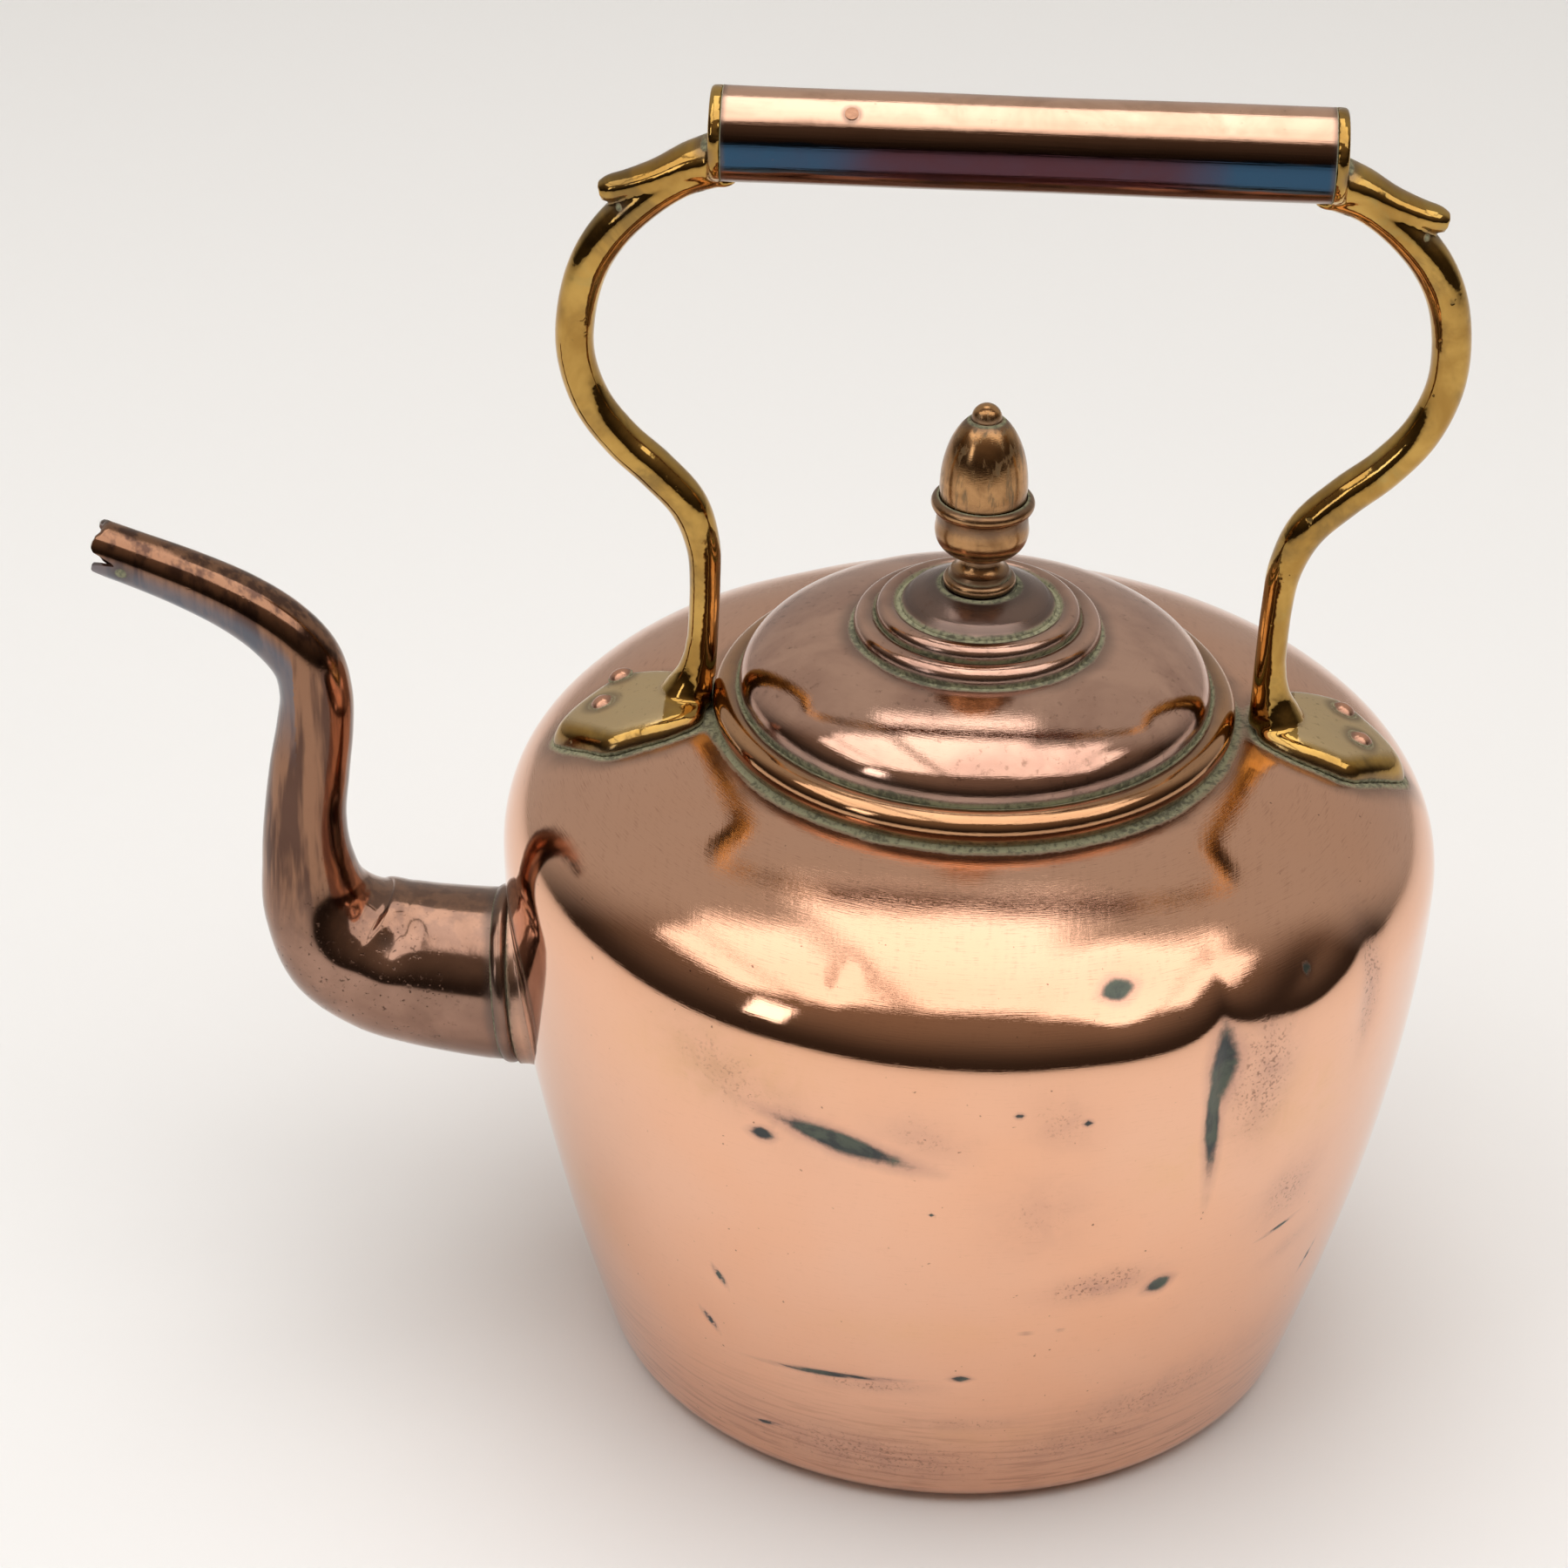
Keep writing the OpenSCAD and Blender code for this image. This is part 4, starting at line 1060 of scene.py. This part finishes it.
def bracket_piece(side, node, brass):
    """One casting: foot, arm, horn and end plate joined into a single skin, with soft fillets
    where the arm grows out of the foot and where the horn leaves the arm."""
    arm = spline([(side * x + skew(z), z, t, 4.7 * t / 4.2) for x, z, t in ARM_KNOTS], 150)
    horn = spline([(side * x + skew(z), z, t, w) for x, z, t, w in HORN_KNOTS], 44)
    neck = spline([(side * x + skew(z), z, t, w) for x, z, t, w in [
        (66.4, 160.5, 5.8, 7.0), (65.2, 163.5, 5.2, 6.2), (64.1, 167.0, 4.3, 5.0),
        (63.3, 171.5, 3.6, 4.2), (63, 176, 3.2, 3.6)]], 24)
    parts = [crowned_foot(side), swept_oval(arm), swept_oval(neck), swept_oval(horn, 36),
             end_plate(side), toe_lug(side)]
    mesh = remeshed(solid_mesh(node, [(grid, False) for grid in parts]), 0.46)
    points = points_of(mesh)
    edges = np.empty(len(mesh.edges) * 2, np.int32)
    mesh.edges.foreach_get("vertices", edges)
    edges = edges.reshape(-1, 2)
    even = np.ones(len(points))
    for _ in range(7):
        points = relaxed(points, edges, even * 0.5, 1)
        points = relaxed(points, edges, even * -0.52, 1)
    foot_join = np.exp(-((points[:, 2] - 166.5) / 5) ** 2)
    foot_join *= np.exp(-((np.abs(points[:, 0] - FOOT_SHIFT) - 66) / 9) ** 2)
    top_join = np.exp(-((points[:, 2] - 284) / 7) ** 2)
    top_join *= np.exp(-((np.abs(points[:, 0] - TOP_SHIFT) - 73) / 8) ** 2)
    points = relaxed(points, edges, np.clip(foot_join + 0.5 * top_join, 0, 1) * 0.6, 14)
    r = np.hypot(points[:, 0], points[:, 1])
    low = points[:, 2] < 180
    floor = shoulder_z(r) + 0.1
    points[:, 2] = np.where(low & (points[:, 2] < floor), floor, points[:, 2])
    ring = RING_HIGH[0] + 0.1
    crowded = (points[:, 2] < RING_HIGH[2] + 0.1) & (r < ring)
    points[crowded, :2] *= (ring / r[crowded])[:, None]
    mesh.vertices.foreach_set("co", (points * MM).astype(np.float32).ravel())
    rivets = rivet_places(side)

    def crevices(p):
        r = np.hypot(p[:, 0], p[:, 1])
        height = np.maximum((p[:, 2] - shoulder_z(r)) * 0.9 - 0.35, 0)
        inwards = np.full(len(p), 30.0)
        low = np.where(p[:, 2] < 175)[0]
        inwards[low] = np.maximum(far_from_outline(p[low], foot_plan_at(side)) - 1.2, 0)
        gaps = [np.hypot(height, inwards)]
        for spot, out in rivets:
            across = p - spot
            across -= (across @ out)[:, None] * out
            head = np.abs(np.linalg.norm(across, axis=1) - RIVET_R) + 0.35
            gaps.append(np.where(p[:, 2] < 175, head, 30.0))
        for x, z in [(87.2, 279.6), (84, 280.0), (66.6, 294.5), (66.8, 283.5)]:
            gaps.append(np.hypot(p[:, 0] - side * x - skew(z), p[:, 2] - z) - 0.2)
        return np.min(gaps, axis=0)

    def face(p):
        inside = far_from_outline(p, foot_plan_at(side))
        r = np.hypot(p[:, 0], p[:, 1])
        flat = (p[:, 2] < shoulder_z(r) + 5.4) & (np.abs(p[:, 0] - FOOT_SHIFT) > 70)
        return np.clip((inside - 2.2) / 2.0, 0, 1) * flat

    return piece(node + "_look", mesh, "kettle", [node], [brass],
                 {"crevice": crevices, "face": face}, 80)


def rivets_piece(side, node, copper):
    """Two rivets with low domed heads, each a little out of round from the hammer."""
    head, height, shank = 2.8, 1.7, 1.8
    big = (height ** 2 + head ** 2) / (2 * height)
    seat = 4.1
    dome = arc((0, seat + height - big), big, 90 - math.degrees(math.asin(head / big)), 90, 16)
    profile = np.concatenate([[[0, seat - 8.4], [shank, seat - 8.4], [shank, seat]], dome])
    profile[-1, 0] = 0
    parts = []
    for number, (spot, out) in enumerate(rivet_places(side)):
        points, a = revolve(profile, 56)
        hammered = 1 + 0.05 * np.sin(2 * a + number * 2 + side) + 0.03 * np.sin(5 * a + side)
        points[..., :2] *= hammered[None, :, None]
        across = np.array([0.0, 1.0, 0.0])
        along = np.cross(across, out)
        parts.append((spot + points[..., :1] * along + points[..., 1:2] * across
                      + points[..., 2:] * out, False))
    mesh = solid_mesh(node, parts)

    def crevices(p):
        gaps = []
        for spot, out in rivet_places(side):
            height = (p - spot) @ out
            gaps.append(np.where(np.linalg.norm(p - spot, axis=1) < 9, np.abs(height - 4.3), 30))
        return np.min(gaps, axis=0)

    return piece(node + "_look", mesh, "kettle", [node], [copper],
                 {"crevice": crevices}, 50)


def grip_piece(copper):
    """The copper tube of the grip: a closed loop of outside and bore carried round the X axis,
    very slightly slimmer where it is held."""
    length = GRIP_HIGH[0] - GRIP_LOW[0]
    s = np.linspace(0, length, 120)
    slim = 0.12 * np.sin(math.pi * s / length) + 0.05 * np.sin(s / 9.0)
    outside = np.stack([GRIP_R - np.abs(slim), s], -1)
    bore = np.stack([np.full(12, GRIP_R - 1.2), np.linspace(length, 0, 12)], -1)
    points = along_x(revolve(np.concatenate([outside, bore]), 128)[0], GRIP_LOW[0], GRIP_Z)
    mesh = solid_mesh("grip_tube", [(points, True)])
    pin_low, pin_high = span("grip_pin")
    pin = (pin_low + pin_high) / 2

    def crevices(p):
        ends = np.minimum(p[:, 0] - GRIP_LOW[0], GRIP_HIGH[0] - p[:, 0])
        return np.minimum(ends + 0.1, np.abs(np.linalg.norm(p - pin, axis=1) - 1.5) + 0.4)

    return piece("grip_tube_look", mesh, "kettle", ["grip_tube"], [copper],
                 {"crevice": crevices}, 50)


# ---------------------------------------------------------------- lid
DOME_H = 15.0        # height of the dome where it would become level
DOME_IN = 15.0       # radius where it would become level
DOME_POWER = 2.2
DOME_TOP_R = 27.2    # radius where it meets the outer bead
LID_T = 0.9


def lid_outline():
    """The lid's outside: a quarter of a superellipse that starts upright at the rim, two swaged
    beads, and a raised middle that carries the knob. Returns the line and the grooves that hold
    dirt, as (r, z, half width)."""
    foot = RIM_Z + 0.4
    reach = LID_R - DOME_IN
    end = math.acos(((DOME_TOP_R - DOME_IN) / reach) ** (DOME_POWER / 2))
    t = np.linspace(0, end, 120)
    dome = np.stack([DOME_IN + reach * np.cos(t) ** (2 / DOME_POWER),
                     foot + DOME_H * np.sin(t) ** (2 / DOME_POWER)], -1)
    bead1 = dome[-1] + [-2.8, 1.2]
    bead2 = bead1 + [-4.4, 3.2]
    edge = bead2 + [-3, 2.2]
    line = np.concatenate([
        [[LID_R, RIM_Z]], dome, arc(bead1, 2.9, -18, 140, 22), arc(bead2, 2.5, -8, 142, 20),
        arc(edge + [-1, -0.6], 1.2, 10, 62, 8), arc((0, FINIAL_Z - 30.5), 32, 61.5, 74.8, 14),
        [[MIDDLE_R, FINIAL_Z], [SPINDLE_HOLE_R, FINIAL_Z]]])
    grooves = [(*(dome[-1] + [0.2, 0.2]), 0.1), (*(bead1 + [-2.2, 2.4]), 0.2),
               (*(bead2 + [-2.4, 1.8]), 0.4), (8.6, FINIAL_Z, 0.0), (LID_R + 0.2, RIM_Z - 0.2, 0.7)]
    return line, grooves


def lid_piece(copper, tin):
    """The lid's outside and the same line one sheet inside, as one closed loop."""
    outside, grooves = lid_outline()
    inner = beside(evenly(outside[1:-2], spacing=1.2), -LID_T)[::-1]
    under = [[SPINDLE_HOLE_R, FINIAL_Z - LID_T], [MIDDLE_R, FINIAL_Z - LID_T]]
    profile = np.concatenate([outside, under, inner, [[LID_R - LID_T, RIM_Z]]])
    points = revolve(profile, 220)[0]
    mesh = solid_mesh("lid_dome", [(points, True)])
    obj = piece("lid_dome_look", mesh, "lid", ["lid_dome"], [copper, tin],
                {"crevice": near_circles(grooves)}, 30)
    face = np.arange(len(mesh.polygons)) // 220
    mesh.polygons.foreach_set("material_index", (face >= len(outside)).astype(np.int32))
    return obj


def lid_flange_piece(tin):
    """The band under the lid that drops into the mouth."""
    low, high = span("lid_flange")
    r = high[0]
    s = np.linspace(0, 1, 12)
    out = np.stack([np.full(12, r), low[2] + (high[2] - 0.8 - low[2]) * s], -1)
    profile = np.concatenate([out, [[r - 0.8, high[2]], [r - 0.8, low[2]]]])
    return turned("lid_flange", profile, "lid", tin, [(0, 0, 0)], 200)


# ---------------------------------------------------------------- knob
def knob_pieces(bronze):
    """Pedestal, acorn cup, acorn and spindle, turned on one axis."""
    base, cup = FINIAL_Z, CUP_LOW[2]
    stem = SPINDLE_HOLE_R
    cup_seat = NUT_LOW[2]
    grooves = [(r, z, 0.0) for r, z in [
        (8.2, base), (6.4, base + 3.1), (4.6, cup), (9.2, cup + 9.8), (9.7, cup + 13.9),
        (4.0, NUT_HIGH[2]), (9.4, cup_seat + 0.8)]]
    pedestal = np.concatenate([
        [[stem, base]], arc((6.6, base + 1.4), 1.4, -90, 80, 20), [[6.9, base + 3.0]],
        arc((7.5, base + 7.1), 3.3, 250, 180, 20), [[4.4, cup], [stem, cup]]])
    turned("finial_pedestal", pedestal, "lid", bronze, grooves, 120)
    bowl = np.concatenate([
        [[stem, cup], [4.6, cup]], arc((4.6, cup + 6), 5.7, -75, 12, 30),
        [[CUP_HIGH[0] - 1.4, cup + 9.6]], arc((CUP_HIGH[0] - 1.6, cup + 12.4), 1.6, -75, 90, 22),
        [[NUT_HIGH[0] + 0.15, cup + 13.8], [NUT_HIGH[0] + 0.15, cup_seat], [stem, cup_seat]]])
    turned("acorn_cup", bowl, "lid", bronze, grooves, 140)
    acorn_r = NUT_HIGH[0]
    end = math.acos(3.7 / acorn_r)
    a = np.linspace(0, end, 48)
    rise = (NUT_HIGH[2] - cup_seat - 3.6) / math.sin(end)
    egg = np.stack([acorn_r * np.cos(a), cup_seat + 3.6 + rise * np.sin(a)], -1)
    acorn = np.concatenate([[[stem, cup_seat], [acorn_r - 0.3, cup_seat]], egg,
                            [[stem, NUT_HIGH[2]]]])
    turned("acorn_nut", acorn, "lid", bronze, grooves, 140)
    low, high = span("finial_spindle")
    top = NUT_HIGH[2]
    button = arc((0, top + 0.2), high[2] - top - 0.2, 4, 90, 16)
    button[-1, 0] = 0
    shank = [[0, low[2]], [2.0, low[2]], [2.0, top], [button[0, 0], top]]
    spindle = np.concatenate([shank, button])
    turned("finial_spindle", spindle, "lid", bronze, grooves, 64, False)


# ---------------------------------------------------------------- setting
def pale_floor():
    """A wide plain floor under the kettle."""
    mesh = bpy.data.meshes.new("floor")
    a = np.linspace(0, 2 * math.pi, 96, endpoint=False)
    rim = np.stack([4 * np.cos(a), 4 * np.sin(a), np.full(96, -0.0002)], -1)
    mesh.from_pydata(rim.tolist(), [], [list(range(96))])
    f = Finish("floor_paint")
    shade = f.blend(f.noise(3, 2), (0.925, 0.93, 0.935, 1), (0.90, 0.905, 0.91, 1))
    f.set(Base_Color=shade, Roughness=0.7)
    mesh.materials.append(f.material)
    in_scene("floor", mesh)


def soft_panel(name, middle, aim, width, depth, brightness, colour=(1, 1, 1)):
    """A rectangular soft light of even brightness, turned to face a point."""
    light = bpy.data.lights.new(name, "AREA")
    light.shape = "RECTANGLE"
    light.size = width
    light.size_y = depth
    light.energy = brightness * math.pi * width * depth
    light.color = colour
    obj = in_scene(name, light)
    obj.location = middle
    away = Vector(middle) - Vector(aim)
    obj.rotation_euler = away.to_track_quat("Z", "Y").to_euler()
    return obj


# Overhead panes: place from side to side, middle and depth from front to back, in metres.
PANES = [(-1.75, -0.64, 1.25), (-0.875, -0.52, 1.5), (0.0, -0.15, 2.1), (0.875, -0.52, 1.5),
         (1.75, -0.64, 1.25)]


def studio_light():
    """A row of overhead panes, a wide fill that only brightens the floor, a small window low at
    the front left, and quiet surroundings, dark and warm in front and grey behind."""
    for number, (x, y, depth) in enumerate(PANES):
        pane = soft_panel("pane_%d" % number, (x, y, 1.75), (x, y, 0), 0.82, depth, 1.6,
                          (1.0, 0.99, 0.975))
        pane.rotation_euler.z += 0.12
    fill = soft_panel("fill", (0, 0, 2.4), (0, 0, 0), 3.4, 3.4, 0.50)
    fill.visible_glossy = False
    soft_panel("window", (-1.36, -1.30, 0.95), (0, 0, 0.12), 0.34, 0.55, 2.6, (0.97, 0.98, 1.0))
    world = bpy.data.worlds.new("surroundings")
    bpy.context.scene.world = world
    f = Finish("surroundings", world)
    y, z = f.axes()[1:]
    behind = f.smooth(y + z * 0.6, 0.20, 0.75)
    height = f.smooth(z, 0.05, 0.80)
    front = f.blend(height, (0.035, 0.026, 0.02, 1), (0.26, 0.20, 0.15, 1))
    back = f.blend(height, (0.46, 0.44, 0.41, 1), (0.50, 0.48, 0.44, 1))
    room = f.blend(behind, front, back)
    seen = f.node("ShaderNodeLightPath", output="Is Camera Ray")
    f.set(Color=f.blend(seen, room, (0.80, 0.80, 0.80, 1)))


def camera():
    """A long lens in front of the kettle, above it and looking down."""
    lens = bpy.data.cameras.new("camera")
    lens.lens = 100
    lens.sensor_width = 36
    obj = in_scene("camera", lens)
    azimuth, elevation, roll = math.radians(-87.5), math.radians(31.13), math.radians(1.16)
    distance = 0.9829
    aim = Vector((-0.0419, 0.0, 0.1392))
    back = Vector((math.cos(elevation) * math.cos(azimuth), math.cos(elevation) * math.sin(azimuth),
                   math.sin(elevation)))
    level = Vector((-math.sin(azimuth), math.cos(azimuth), 0))
    right = level * math.cos(roll) + back.cross(level) * math.sin(roll)
    turn = Matrix((right, back.cross(right), back)).transposed()
    obj.matrix_world = Matrix.Translation(aim + back * distance) @ turn.to_4x4()
    bpy.context.scene.camera = obj


# ---------------------------------------------------------------- the kettle
camera()
pale_floor()
studio_light()
bpy.context.scene.view_settings.view_transform = "Standard"

copper = body_copper()
tin = tinned_copper()
ring = ring_copper()
dark_lid = lid_copper()
dark_spout = spout_copper()
hand_grip = grip_copper()
brass = cast_brass()
bronze = knob_bronze()
rivets = rivet_copper()

body_shell_piece(copper, tin)
base_pan_piece(copper)
mouth_ring_piece(ring)
spout_piece(dark_spout)
spout_root_pieces(copper, dark_spout)
bracket_piece(-1, "front_bracket", brass)
bracket_piece(1, "rear_bracket", brass)
rivets_piece(-1, "front_foot_rivets", rivets)
rivets_piece(1, "rear_foot_rivets", rivets)
grip_piece(hand_grip)
lid_piece(dark_lid, tin)
lid_flange_piece(tin)
knob_pieces(bronze)

for node, finish in [("front_rivet_burrs", tin), ("rear_rivet_burrs", tin), ("spindle_burr", tin),
                     ("grip_pin", pin_copper())]:
    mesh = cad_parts[node].data
    mesh.materials.clear()
    mesh.materials.append(finish)
